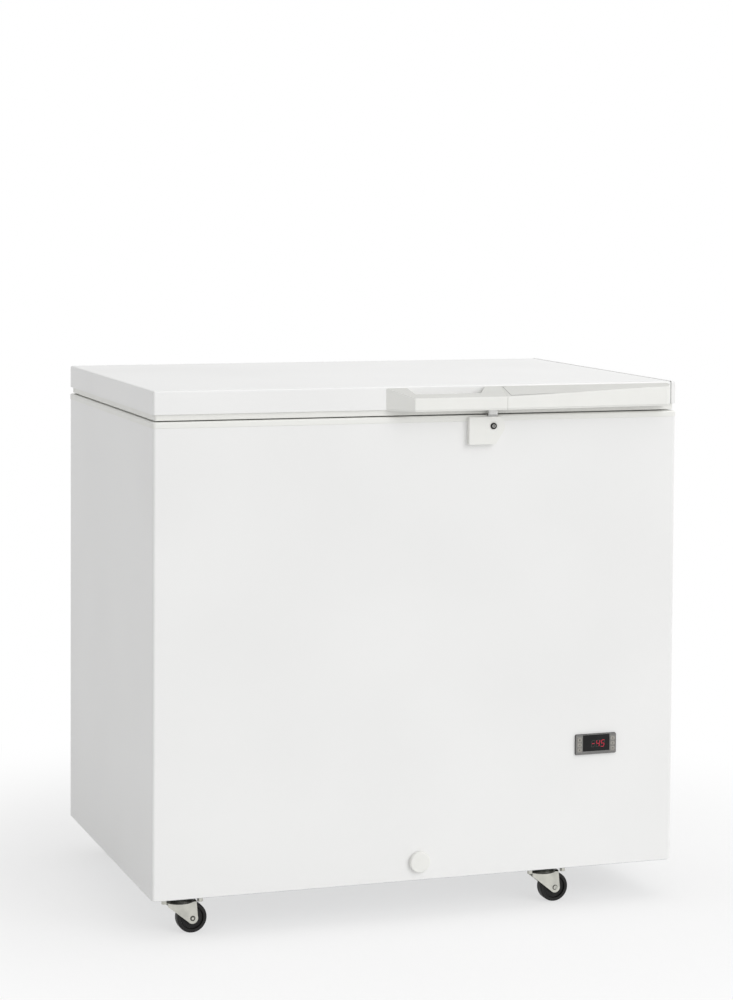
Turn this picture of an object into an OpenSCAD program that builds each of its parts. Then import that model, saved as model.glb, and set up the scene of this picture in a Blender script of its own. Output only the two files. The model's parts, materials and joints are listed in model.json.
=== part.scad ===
// Chest-type medical freezer on four casters, in millimetres.
// +X is to the right, the front is on the -Y side and +Z is up.
// The origin is on the floor, under the centre of the cabinet.

/* [Cabinet] */
// Width of the cabinet
body_w = 920; // [880:10:1100]
// Depth of the cabinet, without handle and hinges
body_d = 624; // [600:4:720]
// Height of the cabinet, from its bottom edge to the collar's top
cabinet_h = 777; // [740:5:900]
// Thickness of the outer sheet steel
sheet_t = 1; // [0.8:0.1:1.4]
// Radius of the cabinet's vertical corners
corner_r = 5; // [4:0.5:8]
// Thickness of the insulated walls
wall_t = 95; // [88:1:105]
// Thickness of the insulated floor and of the foam over the machine compartment
floor_t = 95; // [85:1:105]
// Thickness of the inner liner
liner_t = 1; // [0.8:0.1:1.5]
// Radius of the liner's vertical corners
liner_r = 22; // [12:1:30]
// Thickness of the base pan
pan_t = 1.5; // [1.2:0.1:2]
// How far the base pan stays inside the cabinet's edge
pan_inset = 3; // [2:0.5:6]

/* [Collar] */
// Height of the collar's skirt
skirt_h = 10; // [8:0.5:14]
// How far the skirt stands proud of the cabinet
skirt_proud = 0.8; // [0.4:0.1:1.5]
// Wall of the collar moulding
collar_t = 3; // [2.5:0.1:4]
// Chamfer along the collar's top outer edge
collar_edge = 2; // [1:0.25:2.5]
// Depth of the collar's lip inside the liner
collar_lip_h = 14; // [10:1:18]

/* [Machine compartment] */
// Width of the compartment
machine_w = 260; // [250:1:280]
// Height of the compartment
machine_h = 290; // [280:1:310]
// Thickness of the bulkhead and tray sheet
bulkhead_t = 1; // [0.8:0.1:1.5]
// Height of the tray's side lips
tray_lip = 12; // [8:1:18]
// Diameter of the compressor pot
pot_d = 150; // [130:1:156]
// Height of the compressor pot
pot_h = 165; // [150:1:175]
// Height of the compressor's rubber mounts
mount_h = 13; // [10:1:16]
// Distance of the compressor's centre from the rear panel
pot_rear = 122; // [112:1:130]
// Width of the condenser block
cond_w = 186; // [182:1:188]
// Height of the condenser block
cond_h = 190; // [180:1:200]
// Depth of the condenser block
cond_d = 50; // [40:1:55]
// Number of condenser fins
fin_n = 22; // [16:1:26]
// Thickness of a condenser fin
fin_t = 0.8; // [0.6:0.1:1.2]
// Diameter of the condenser's tubes
cond_tube_d = 8; // [6:0.5:9]
// Distance from the front sheet to the condenser
cond_front = 120; // [110:1:125]
// Depth of the fan shroud
shroud_d = 36; // [34:1:40]
// Diameter of the fan
fan_d = 160; // [140:1:170]
// Number of fan blades
blade_n = 5; // [4:1:7]
// Diameter of the fan motor
motor_d = 62; // [56:1:70]
// Length of the fan motor
motor_l = 42; // [38:1:48]
// Diameter of the fan shaft
shaft_d = 6; // [5:0.5:8]

/* [Refrigerant circuit] */
// Diameter of the evaporator tube
coil_d = 8; // [6:0.5:9]
// Turns of the evaporator round the liner
coil_turns = 5; // [4:1:7]
// Height of the evaporator's lowest turn above the step floor
coil_start = 30; // [25:1:45]
// Distance from the evaporator's highest turn to the collar's top
coil_end = 90; // [80:1:100]
// Diameter of the lines in the machine compartment
line_d = 7; // [6:0.5:8]
// Diameter of the filter drier
drier_d = 20; // [18:1:24]
// Length of the filter drier
drier_l = 86; // [76:1:96]

/* [Lid] */
// Height of the lid's steel skin
lid_h = 38.5; // [34:0.5:46]
// Height of the frame under the skin
frame_h = 10; // [8:0.5:14]
// How far the frame is set back from the skin's edge
frame_inset = 9.5; // [8:0.5:11]
// Gap between the collar and the lid's frame
lid_gap = 2; // [1.5:0.25:3]
// Radius along the lid's top edge
lid_edge_r = 3; // [2:0.5:4]
// How deep the lid's inner panel reaches into the cabinet
plug_depth = 22; // [16:1:30]
// Play between the inner panel and the collar's lip
plug_play = 8; // [6:0.5:12]
// Wall of the lid's inner panel
lid_liner_t = 2; // [1.5:0.1:3]
// Width of the gasket
gasket_w = 22; // [18:1:26]
// How far the gasket is set back from the frame's edge
gasket_inset = 3.5; // [2:0.5:6]
// Width of the gasket's dart, which snaps into the frame
dart_w = 8; // [6:0.5:10]
// Play of the closed gasket above the collar
gasket_play = 0.3; // [0.2:0.1:0.5]

/* [Handle] */
// Left foot of the handle on the lid
handle_left = -65; // [-80:1:-55]
// Left corner of the handle's front face
handle_corner = -26; // [-40:1:-10]
// Projection of the handle's front face at its grip
handle_out = 34; // [30:1:34]
// Projection of the handle at its right end
handle_out_right = 22.5; // [18:0.5:28]
// Distance of the handle's right end from the lid's right edge
handle_right_gap = 19; // [15:1:26]
// Radius of the handle's right end
handle_end_r = 9; // [6:1:12]
// Thickness of the grip bar
bar_t = 12.5; // [10:0.5:15]
// Left edge of the finger gap at the lid
gap_left = -29; // [-35:1:-25]
// Right edge of the finger gap at the lid
gap_right = 109; // [100:1:110]
// How far the gap's left edge slants
gap_slant_left = 8; // [4:1:14]
// How far the gap's right edge slants
gap_slant_right = 15; // [8:1:20]
// Split between the grip and the fascia
handle_split = 137; // [134:1:150]
// How far the handle hangs below the lid's skin
handle_drop = 1.5; // [0.5:0.25:3]
// Height of the lip under the handle's front face
handle_lip = 2.5; // [1.5:0.25:3.5]
// How far that lip is set back
handle_lip_inset = 1.2; // [0.6:0.2:2]
// Height of the handle at the lid, measured down from the lid's top
handle_top_gap = 2.5; // [2:0.25:5]
// Drop of the bevel from the lid to the grip's front face
bevel_drop = 15; // [10:0.5:18]
// Wall of the hollow fascia
fascia_t = 2.5; // [2:0.1:3.5]

/* [Lock] */
// Centre of the key plug, from the cabinet's centre
lock_x = 122; // [110:1:128]
// Key plug's centre below the collar's top
lock_drop = 18; // [17:0.5:22]
// Left edge of the housing, from the plug's centre
lock_left = 43.5; // [36:0.5:50]
// Bottom of the housing, below the plug's centre
lock_bottom = 30.5; // [26:0.5:36]
// Top of the housing, above the plug's centre
lock_top = 15.5; // [14.5:0.25:16.5]
// Radius of the housing's round side
lock_side_r = 20; // [17:0.5:22]
// Projection of the housing
lock_out = 10; // [9.5:0.25:12]
// Wall of the housing
lock_t = 1.6; // [1.2:0.1:2]
// Diameter of the lock barrel
barrel_d = 10.5; // [10:0.25:11.5]
// Diameter of the key plug
plug_d = 6.6; // [6:0.1:7.4]
// Width of the latch tongue
tongue_w = 15; // [13:0.5:15.5]
// Thickness of the latch tongue
tongue_t = 1.6; // [1.2:0.1:2]
// Thickness of the lock's hook
hook_t = 2.4; // [2:0.1:2.6]

/* [Controller] */
// Centre of the controller, from the cabinet's right edge
ctrl_from_right = 144; // [130:0.5:160]
// Centre of the controller above the cabinet's bottom edge
ctrl_z = 209.75; // [190:0.25:225]
// Width of the bezel
bezel_w = 74; // [72:0.5:80]
// Height of the bezel
bezel_h = 34; // [33:0.5:36]
// Projection of the bezel
bezel_t = 4; // [3.5:0.25:5]
// Width of the panel cut-out
cutout_w = 71; // [68:0.5:71]
// Height of the panel cut-out
cutout_h = 29; // [27:0.5:30]
// Length of the controller's case behind the panel
case_l = 60; // [50:1:70]
// Width of the display window
window_w = 49.4; // [46:0.2:49.6]
// Height of the display window
window_h = 28; // [26:0.25:29]
// Left edge of the window from the bezel's left edge
window_left = 12.6; // [12:0.2:13.4]
// Width of a key
key_w = 8; // [7:0.5:9]
// Height of a key
key_h = 6; // [5:0.5:7]
// Spacing of the keys
key_pitch = 8.6; // [8:0.1:9]
// Travel of a key
key_travel = 0.5; // [0.3:0.1:0.6]

/* [Drain] */
// Place of the drain, from the cabinet's centre
drain_x = -2; // [-30:1:30]
// Height of the drain outlet above the cabinet's bottom edge
drain_z = 30.5; // [26:0.5:36]
// Distance of the floor drain from the front
drain_in = 150; // [130:1:180]
// Outer diameter of the drain tube
drain_d = 22; // [20:0.5:24]
// Wall of the drain tube
drain_wall = 2.5; // [2:0.1:3]
// Diameter of the drain cap
cap_d = 35.7; // [32:0.1:38]
// Thickness of the drain cap
cap_t = 8; // [7:0.5:10]

/* [Hinges] */
// Distance of each hinge from the cabinet's centre
hinge_x = 300; // [250:5:340]
// Distance of the hinge pin from the rear panel
pivot_out = 22; // [21:0.5:22]
// Height of the hinge pin above the collar's top
pivot_up = 5; // [4:0.5:7]
// Radius of the hinge ears
ear_r = 12; // [11:0.25:12]
// Thickness of a hinge ear
ear_t = 6; // [5:0.25:7]
// Clear width between the leaf's ears
spring_room = 42; // [38:1:46]
// Diameter of the hinge screws
hinge_screw_d = 5; // [4.5:0.25:5]
// Diameter of the hinge pin
pin_d = 8; // [7:0.25:9]
// Thickness of the hinge plates
hinge_plate_t = 3; // [2.5:0.25:4]
// Turns of a hinge spring
spring_turns = 7; // [5:1:9]
// Diameter of the spring wire
wire_d = 2.4; // [2:0.1:2.8]

/* [Grille and rear cover] */
// Length of the side grille's opening
grille_w = 196; // [180:2:210]
// Height of the side grille's opening
grille_h = 176; // [160:2:190]
// Width of the grille's rim
grille_rim = 8; // [6:0.5:10]
// Height of the grille's centre above the condenser's
grille_lift = 18; // [12:1:22]
// Spacing of the grille's blades
grille_pitch = 16; // [14:1:20]
// Angle of the grille's blades
grille_tilt = 35; // [25:1:45]
// Number of louvres in each column of the rear cover
louvre_n = 10; // [8:1:11]
// Spacing of the louvres
louvre_pitch = 20; // [18:0.5:21]
// Projection of a louvre
louvre_out = 7; // [5:0.5:9]
// Diameter of the power cord's passage in its gland
gland_bore_d = 8.4; // [7:0.1:9]

/* [Casters] */
// Height of a caster, from the floor to its plate's top
caster_h = 65; // [64.5:0.5:70]
// Diameter of a wheel
wheel_d = 50; // [46:0.5:50]
// Width of a wheel
wheel_w = 20; // [16:0.5:22]
// Swivel axis of the left casters from the cabinet's left edge
caster_left = 56; // [52:1:70]
// Swivel axis of the right casters from the cabinet's right edge
caster_right = 223; // [200:1:250]
// Swivel axis of the casters from the front and rear
caster_in = 43; // [40:1:60]
// Trail of the wheel behind the swivel axis
trail = 20; // [18:0.5:24]
// Width of the caster's plate
caster_plate_w = 76; // [72:1:80]
// Depth of the caster's plate
caster_plate_d = 58; // [54:1:64]
// Thickness of the plate and the fork
fork_t = 2.5; // [2:0.1:3]
// Diameter of the swivel pin
kingpin_d = 10; // [8:0.5:12]
// Diameter of the axle
axle_d = 6; // [5:0.5:8]

/* [Clearances] */
// Clearance between pieces of different bodies
gap = 0.3; // [0.2:0.05:0.4]
// Radial clearance of a running fit
fit = 0.05; // [0.03:0.01:0.08]

/* [Hidden] */
$fn = 48;
// Reach of a cutting solid past the face that it cuts
cut = 5;

// Heights of the main levels
cab_z = caster_h + pan_t;
cab_top = cab_z + cabinet_h;
skirt_z = cab_top - skirt_h;
lid_z = cab_top + lid_gap + frame_h;
lid_top = lid_z + lid_h;
floor_z = cab_z + floor_t;
machine_top = cab_z + machine_h;
step_z = machine_top + floor_t;
rim_z = cab_top - collar_t;

// Plan of the storage space and of the machine compartment
store_w = body_w - 2 * wall_t;
store_d = body_d - 2 * wall_t;
front_y = -body_d / 2;
rear_y = body_d / 2;
machine_x = body_w / 2 - machine_w;
step_x = machine_x - floor_t;
machine_mid = (machine_x + body_w / 2) / 2;
inner_w = body_w - 2 * sheet_t;
inner_d = body_d - 2 * sheet_t;

// Whitish, metal and dark colours of the pieces
white = [0.93, 0.93, 0.92];
steel = [0.72, 0.73, 0.74];
dark = [0.12, 0.12, 0.13];
copper = [0.72, 0.42, 0.25];

// Outline of a rectangle with round corners, centred on the origin
function rounded_outline(w, d, r, steps = 6) = [
    for (c = [0:3], s = [0:steps])
        let (a = 90 * c + 90 * s / steps,
             cx = (c == 0 || c == 3 ? 1 : -1) * (w / 2 - r),
             cy = (c < 2 ? 1 : -1) * (d / 2 - r))
        [cx + r * cos(a), cy + r * sin(a)]
];

// Upright block with round vertical corners
module rounded_block(w, d, h, r) {
    linear_extrude(h) polygon(rounded_outline(w, d, r));
}

// Ring between two such outlines
module rounded_ring(w, d, h, r, wall) {
    linear_extrude(h) difference() {
        polygon(rounded_outline(w, d, r));
        polygon(rounded_outline(w - 2 * wall, d - 2 * wall, max(r - wall, 0.5)));
    }
}

// Block whose top edge is rounded as well
module rounded_lid(w, d, h, r, edge) {
    hull() for (s = [0:3])
        let (a = 30 * s, inset = edge * (1 - cos(a)))
        translate([0, 0, s == 0 ? 0 : h - edge])
        rounded_block(w - 2 * inset, d - 2 * inset,
                      s == 0 ? h - edge : edge * sin(a), max(r - inset, 0.6));
}

// Round tube swept along a list of points
function unit(v) = v / norm(v);
function heading(p, i) =
    i == 0 ? unit(p[1] - p[0]) :
    i == len(p) - 1 ? unit(p[i] - p[i - 1]) :
    unit(unit(p[i] - p[i - 1]) + unit(p[i + 1] - p[i]));
function square_to(v, t) = unit(v - (v * t) * t);
function first_side(t) = square_to(abs(t[2]) < 0.9 ? [0, 0, 1] : [1, 0, 0], t);
function sides(p) = [
    for (i = 0, u = first_side(heading(p, 0));
         i < len(p);
         i = i + 1, u = i < len(p) ? square_to(u, heading(p, i)) : u) u
];
module tube(p, d, n = 8) {
    u = sides(p);
    rings = [
        for (i = [0:len(p) - 1])
            let (t = heading(p, i), v = cross(t, u[i]))
            for (k = [0:n - 1])
                p[i] + d / 2 * (cos(360 * k / n) * u[i] + sin(360 * k / n) * v)
    ];
    walls = [
        for (i = [0:len(p) - 2], k = [0:n - 1], half = [0, 1])
            let (a = i * n + k, b = i * n + (k + 1) % n)
            half == 0 ? [a, a + n, b + n] : [a, b + n, b]
    ];
    last = (len(p) - 1) * n;
    polyhedron(rings, concat([[for (k = [0:n - 1]) k]], walls,
                             [[for (k = [n - 1:-1:0]) last + k]]), convexity = 8);
}

// Points of a route whose corners are rounded, each in a few steps
function bend(p, i, r, steps) =
    let (a = unit(p[i - 1] - p[i]), b = unit(p[i + 1] - p[i]),
         start = p[i] + a * r, end = p[i] + b * r)
    [for (s = [0:steps])
        let (q = s / steps)
        start * (1 - q) * (1 - q) + 2 * p[i] * q * (1 - q) + end * q * q];
function rounded_route(p, r, steps = 3) = concat(
    [p[0]],
    [for (i = [1:len(p) - 2]) each bend(p, i, r, steps)],
    [p[len(p) - 1]]
);

// The storage space, grown by g on its sides and floors, up to a given height
module storage(g, top) {
    translate([0, 0, step_z - g])
        rounded_block(store_w + 2 * g, store_d + 2 * g, top - step_z + g, liner_r + g);
    low_w = step_x + store_w / 2;
    translate([(step_x - store_w / 2) / 2, 0, floor_z - g])
        rounded_block(low_w + 2 * g, store_d + 2 * g, top - floor_z + g, liner_r + g);
}

// Cut-outs that more than one piece shares
ctrl_x = body_w / 2 - ctrl_from_right;
ctrl_abs_z = cab_z + ctrl_z;
module controller_cutout(play) {
    translate([ctrl_x, front_y, ctrl_abs_z])
        cube([cutout_w + 2 * play, 8 * sheet_t, cutout_h + 2 * play], center = true);
}
grille_y = front_y + cond_front;
grille_z = cab_z + cond_h / 2 + grille_lift;
drain_y = front_y + drain_in;
drain_abs_z = cab_z + drain_z;
drain_bore_r = drain_d / 2 - drain_wall;

// Cabinet sheet, folded round the front and both sides
module outer_wrapper() {
    color(white) difference() {
        translate([0, 0, cab_z])
            rounded_ring(body_w, body_d, skirt_z - cab_z, corner_r, sheet_t);
        translate([-body_w, rear_y - sheet_t, 0]) cube([2 * body_w, cut, 2 * cabinet_h]);
        controller_cutout(0);
        translate([drain_x, front_y + cut, drain_abs_z])
            rotate([90, 0, 0]) cylinder(d = drain_d + 2 * gap, h = 2 * cut);
        translate([body_w / 2, grille_y, grille_z])
            cube([cut, grille_w, grille_h], center = true);
    }
}

// Opening behind the machine compartment, which the rear cover closes
cover_margin = 14;
cover_w = machine_w - 2 * cover_margin;
cover_h = machine_h - 2 * cover_margin;
cover_z = cab_z + machine_h / 2;
module rear_panel() {
    color(white) difference() {
        intersection() {
            translate([0, 0, cab_z])
                rounded_block(body_w, body_d, skirt_z - cab_z, corner_r);
            translate([-body_w, rear_y - sheet_t, 0]) cube([2 * body_w, cut, 2 * cabinet_h]);
        }
        translate([machine_mid, rear_y, cover_z])
            cube([cover_w - 20, 4 * cut, cover_h - 20], center = true);
    }
}

// Places of the casters, as [x, y], and of the bolts in each plate
caster_x = [-body_w / 2 + caster_left, body_w / 2 - caster_right];
caster_y = [front_y + caster_in, rear_y - caster_in];
bolt_dx = caster_plate_w / 2 - 8;
bolt_dy = caster_plate_d / 2 - 8;
bolt_d = 6;
module at_casters() {
    for (x = caster_x, y = caster_y) translate([x, y, 0]) children();
}
module at_caster_bolts() {
    at_casters() for (sx = [-1, 1], sy = [-1, 1]) translate([sx * bolt_dx, sy * bolt_dy, 0]) children();
}

// Slots in the floor of the machine compartment
vent_slot = [machine_w - 90, 8];
vent_n = 7;
vent_pitch = 18;
module machine_vents() {
    for (i = [0:vent_n - 1])
        translate([machine_mid, front_y + 48 + caster_plate_d + i * vent_pitch, cab_z])
            cube([vent_slot[0], vent_slot[1], 8 * pan_t], center = true);
}

module base_pan() {
    color(steel) difference() {
        translate([0, 0, caster_h])
            rounded_block(body_w - 2 * pan_inset, body_d - 2 * pan_inset, pan_t, corner_r);
        at_caster_bolts() cylinder(d = bolt_d + 2 * gap, h = 2 * cab_z);
        machine_vents();
    }
}

// Evaporator round the liner, and the channel in the foam for its two ends
coil_r = coil_d / 2;
coil_room = coil_d + 1.5;
coil_x = store_w / 2 + liner_t + gap + coil_r;
coil_y = store_d / 2 + liner_t + gap + coil_r;
coil_low = step_z + coil_start;
coil_high = cab_top - coil_end;
return_x = coil_x + coil_d + 2;
coil_tail = 24;
duct_w = 9 * coil_d;
duct_depth = return_x + coil_r + 1 - (store_w / 2 + liner_t);
module coil_duct(play) {
    translate([store_w / 2 + liner_t - cut - play, -duct_w / 2 - play, machine_top - 4 * bulkhead_t])
        cube([duct_depth + cut + 2 * play, duct_w + 2 * play, coil_high - machine_top + 8 * coil_r]);
}

// Foam between the sheets, hollowed for all that lies in it
module insulation() {
    color([0.93, 0.87, 0.66]) difference() {
        translate([0, 0, cab_z])
            rounded_block(inner_w, inner_d, rim_z - liner_t - cab_z, corner_r - sheet_t);
        storage(liner_t, cab_top + cut);
        translate([machine_x, -body_d, cab_z - cut])
            cube([machine_w + cut, 2 * body_d, machine_h + cut]);
        translate([0, 0, coil_low - coil_d])
            rounded_block(store_w + 2 * (liner_t + coil_room), store_d + 2 * (liner_t + coil_room),
                          coil_high - coil_low + 2 * coil_d, liner_r + coil_room);
        coil_duct(0);
        translate([drain_x, 0, drain_abs_z]) {
            rotate([90, 0, 0]) translate([0, 0, -drain_y]) cylinder(d = drain_d, h = drain_in + cut);
            translate([0, drain_y, 0]) cylinder(d = drain_d, h = floor_t);
            translate([0, drain_y, 0]) sphere(d = drain_d);
        }
        difference() {
            translate([0, 0, skirt_z - collar_lip_h / 2 - gap])
                rounded_block(body_w, body_d, 2 * collar_lip_h, corner_r);
            translate([0, 0, skirt_z - 2 * collar_lip_h])
                rounded_block(body_w - 2 * collar_skirt, body_d - 2 * collar_skirt,
                              4 * collar_lip_h, corner_r);
        }
    }
}

// Sheet-metal liner of the storage space, with a flange under the collar
liner_flange = 16;
module inner_liner() {
    color([0.86, 0.87, 0.88]) difference() {
        union() {
            storage(liner_t, rim_z);
            translate([0, 0, rim_z - liner_t])
                rounded_block(store_w + 2 * liner_flange, store_d + 2 * liner_flange, liner_t,
                              liner_r + liner_flange);
        }
        storage(0, cab_top + cut);
        translate([drain_x, drain_y, floor_z - cut]) cylinder(r = drain_bore_r, h = 2 * cut);
    }
}

// Moulded collar over the cabinet's rim
collar_skirt = sheet_t + 2 * gap + 2.5;
collar_lip_t = 2;
module top_collar() {
    outer_w = body_w + 2 * skirt_proud;
    outer_d = body_d + 2 * skirt_proud;
    color(white) difference() {
        union() {
            translate([0, 0, skirt_z])
                rounded_block(outer_w, outer_d, skirt_h - collar_edge, corner_r + skirt_proud);
            hull() {
                translate([0, 0, cab_top - collar_edge])
                    rounded_block(outer_w, outer_d, 0.01, corner_r + skirt_proud);
                translate([0, 0, cab_top - 0.01])
                    rounded_block(outer_w - 2 * collar_edge, outer_d - 2 * collar_edge, 0.01, corner_r);
            }
            translate([0, 0, skirt_z - collar_lip_h / 2])
                rounded_block(inner_w - 2 * gap, inner_d - 2 * gap, collar_lip_h, corner_r - sheet_t);
        }
        difference() {
            translate([0, 0, skirt_z - collar_lip_h])
                rounded_block(body_w - 2 * collar_skirt, body_d - 2 * collar_skirt,
                              rim_z - skirt_z + collar_lip_h, corner_r);
            translate([0, 0, cab_top - collar_lip_h])
                rounded_block(store_w, store_d, collar_lip_h, liner_r);
        }
        translate([0, 0, skirt_z - collar_lip_h])
            rounded_block(store_w - 2 * collar_lip_t, store_d - 2 * collar_lip_t,
                          4 * collar_lip_h, liner_r - collar_lip_t);
    }
}

// One turn of the evaporator: the corners of its outline, each in six steps
function coil_turn(i) = [
    for (c = [0:3], s = [0:6])
        let (a = -90 * c - 15 * s,
             r = liner_r + liner_t + gap + coil_r,
             cx = (c == 0 || c == 3 ? 1 : -1) * (coil_x - r),
             cy = (c < 2 ? -1 : 1) * (coil_y - r),
             rise = (coil_high - coil_low) / coil_turns)
        [cx + r * cos(a), cy + r * sin(a), coil_low + rise * (i + (7 * c + s + 1) / 29)]
];
module evaporator_coil() {
    end_z = machine_top - coil_tail;
    entry = [
        [return_x, -coil_d, end_z],
        [return_x, -coil_d, coil_low - 5 * coil_d],
        [return_x - 2, -1.3 * coil_d, coil_low - 2.6 * coil_d],
        [return_x - 6, -2.2 * coil_d, coil_low - coil_d],
        [coil_x, -4.2 * coil_d, coil_low]
    ];
    exit = [
        [coil_x, 4.2 * coil_d, coil_high],
        [return_x - 4, 3.2 * coil_d, coil_high - 1],
        [return_x, 2.2 * coil_d, coil_high - coil_d],
        [return_x, 1.6 * coil_d, coil_high - 2.4 * coil_d],
        [return_x, 1.4 * coil_d, coil_high - 5 * coil_d],
        [return_x, 1.4 * coil_d, end_z]
    ];
    color(copper) tube(concat(entry, [for (i = [0:coil_turns - 1]) each coil_turn(i)], exit), coil_d);
}

// Sheet that lines the foam over and beside the machine compartment
module machine_bulkhead() {
    color(steel) difference() {
        intersection() {
            translate([machine_x, -body_d, cab_z]) cube([machine_w, 2 * body_d, machine_h]);
            translate([0, 0, cab_z]) rounded_block(inner_w, inner_d, machine_h, corner_r - sheet_t);
        }
        translate([machine_x + bulkhead_t, -body_d, cab_z - cut])
            cube([machine_w, 2 * body_d, machine_h - bulkhead_t + cut]);
        coil_duct(0);
    }
}

// Tray that carries the refrigerating unit
tray_x0 = machine_x + bulkhead_t + 1;
tray_x1 = body_w / 2 - sheet_t - 1;
tray_z = cab_z + bulkhead_t;
module machine_tray() {
    color(steel) difference() {
        translate([tray_x0, -inner_d / 2 + 2, cab_z])
            cube([tray_x1 - tray_x0, inner_d - 4, tray_lip]);
        translate([tray_x0 + bulkhead_t, -body_d, tray_z])
            cube([tray_x1 - tray_x0 - 2 * bulkhead_t, 2 * body_d, tray_lip]);
        machine_vents();
    }
}

// Hermetic compressor: domed pot with its weld seam, feet and three stubs
pot_r = pot_d / 2;
pot_y = rear_y - pot_rear;
pot_z = tray_z + mount_h + 3;
dome = 26;
seam_z = pot_h * 0.56;
foot_x = pot_r + 12;
foot_y = pot_r * 0.66;
foot_t = 3;
pot_outline = concat(
    [[0, 0]],
    [for (a = [-90:15:0]) [pot_r - dome + dome * cos(a), dome + dome * sin(a)]],
    [[pot_r, seam_z], [pot_r + 3, seam_z], [pot_r + 3, seam_z + 4], [pot_r - 1.5, seam_z + 4]],
    [for (a = [0:15:90]) [pot_r - 1.5 - 2 * dome + 2 * dome * cos(a), pot_h - dome + dome * sin(a)]],
    [[0, pot_h]]
);
stub_z = pot_z + pot_h * 0.72;
module compressor() {
    color(dark) translate([machine_mid, pot_y, 0]) {
        translate([0, 0, pot_z]) rotate_extrude($fn = 72) polygon(pot_outline);
        difference() {
            translate([0, 0, pot_z - foot_t + dome * 0.2])
                linear_extrude(foot_t)
                    polygon(rounded_outline(2 * foot_x + 22, 2 * foot_y + 22, 11));
            for (sx = [-1, 1], sy = [-1, 1])
                translate([sx * foot_x, sy * foot_y, pot_z - cut])
                    cylinder(d = 8, h = 4 * cut);
        }
        for (a = [200, 250, 290])
            rotate([0, 0, a]) translate([pot_r - 6, 0, stub_z - 20])
                rotate([0, 90, 0]) cylinder(d = line_d + 2, h = 18);
    }
}

// Cover of the start relay, on the pot's left side
relay = [26, 62, 54];
module relay_box() {
    color([0.16, 0.16, 0.17]) difference() {
        translate([machine_mid - pot_r - relay[0] + 9, pot_y - relay[1] / 2, pot_z + 34])
            linear_extrude(relay[2]) translate([relay[0] / 2, relay[1] / 2])
                polygon(rounded_outline(relay[0], relay[1], 5));
        translate([machine_mid, pot_y, pot_z - cut]) cylinder(r = pot_r + gap + 3, h = pot_h + 2 * cut);
    }
}

// Rubber feet with their studs, under the compressor
module compressor_mounts() {
    foot_z = pot_z - foot_t + dome * 0.2;
    color(dark) translate([machine_mid, pot_y, 0])
        for (sx = [-1, 1], sy = [-1, 1]) translate([sx * foot_x, sy * foot_y, tray_z]) {
            rotate_extrude() polygon([
                [0, 0], [11, 0], [11, 4], [8.5, 6], [8.5, foot_z - tray_z - 3],
                [10, foot_z - tray_z], [0, foot_z - tray_z]
            ]);
            cylinder(d = 7, h = foot_z - tray_z + foot_t + 7);
        }
}

// Finned condenser with its end plates and return bends
cond_y = front_y + sheet_t + cond_front;
cond_z = tray_z;
cond_rows = 8;
cond_cols = 2;
cond_row_pitch = cond_h / cond_rows;
cond_col_pitch = cond_d / cond_cols;
end_plate_t = 1.5;
tube_out = 3;
module condenser() {
    fin_pitch = (cond_w - 16) / (fin_n - 1);
    tube_y = [for (c = [0:cond_cols - 1]) cond_y + cond_col_pitch * (c + 0.5)];
    tube_z = [for (r = [0:cond_rows - 1]) cond_z + cond_row_pitch * (r + 0.5)];
    color([0.8, 0.8, 0.8]) {
        for (i = [0:fin_n - 1])
            translate([machine_mid - cond_w / 2 + 8 + i * fin_pitch - fin_t / 2, cond_y + 1, cond_z + 3])
                cube([fin_t, cond_d - 2, cond_h - 6]);
        for (s = [0, 1])
            translate([machine_mid - cond_w / 2 + s * (cond_w - end_plate_t), cond_y, cond_z])
                cube([end_plate_t, cond_d, cond_h]);
        for (y = tube_y, z = tube_z)
            translate([machine_mid - cond_w / 2 - tube_out, y, z])
                rotate([0, 90, 0]) cylinder(d = cond_tube_d, h = cond_w + 2 * tube_out, $fn = 24);
        for (y = tube_y, r = [0:cond_rows - 2])
            translate([machine_mid, y, cond_z + cond_row_pitch * (r + 1)])
                rotate([0, 0, r % 2 == 0 ? 0 : 180])
                translate([cond_w / 2 + tube_out, 0, 0]) rotate([90, 0, 0])
                    return_bend(cond_row_pitch);
        translate([machine_mid - cond_w / 2 - tube_out, cond_y + cond_d / 2, tube_z[0]])
            rotate([0, 0, 180]) return_bend(cond_col_pitch);
    }
}

// Half ring on the +X side that joins two tubes, soldered over their ends
module return_bend(pitch) {
    d = cond_tube_d + 1;
    intersection() {
        rotate_extrude($fn = 36) translate([pitch / 2, 0]) circle(d = d, $fn = 24);
        translate([-1, -pitch, -d]) cube([2 * pitch, 2 * pitch, 2 * d]);
    }
}

// Shroud that leads the air from the condenser into the fan
fan_y = cond_y + cond_d + shroud_d - 12;
fan_z = cond_z + cond_h / 2;
shroud_t = 1.2;
fan_play = 4;
module fan_shroud() {
    color([0.25, 0.26, 0.27]) translate([machine_mid, cond_y + cond_d, cond_z]) {
        difference() {
            translate([-cond_w / 2, 0, 0]) cube([cond_w, shroud_d, cond_h]);
            translate([-cond_w / 2 + shroud_t, -cut, shroud_t])
                cube([cond_w - 2 * shroud_t, shroud_d - shroud_t + cut, cond_h - 2 * shroud_t]);
            translate([0, -cut, cond_h / 2])
                rotate([-90, 0, 0]) cylinder(d = fan_d + 2 * fan_play, h = shroud_d + 2 * cut, $fn = 72);
        }
        translate([0, shroud_d - shroud_t - 14, cond_h / 2]) rotate([-90, 0, 0]) difference() {
            cylinder(d = fan_d + 2 * fan_play + 2 * shroud_t, h = 14 + shroud_t, $fn = 72);
            translate([0, 0, -cut]) cylinder(d = fan_d + 2 * fan_play, h = 14 + 4 * cut, $fn = 72);
        }
    }
}

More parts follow.
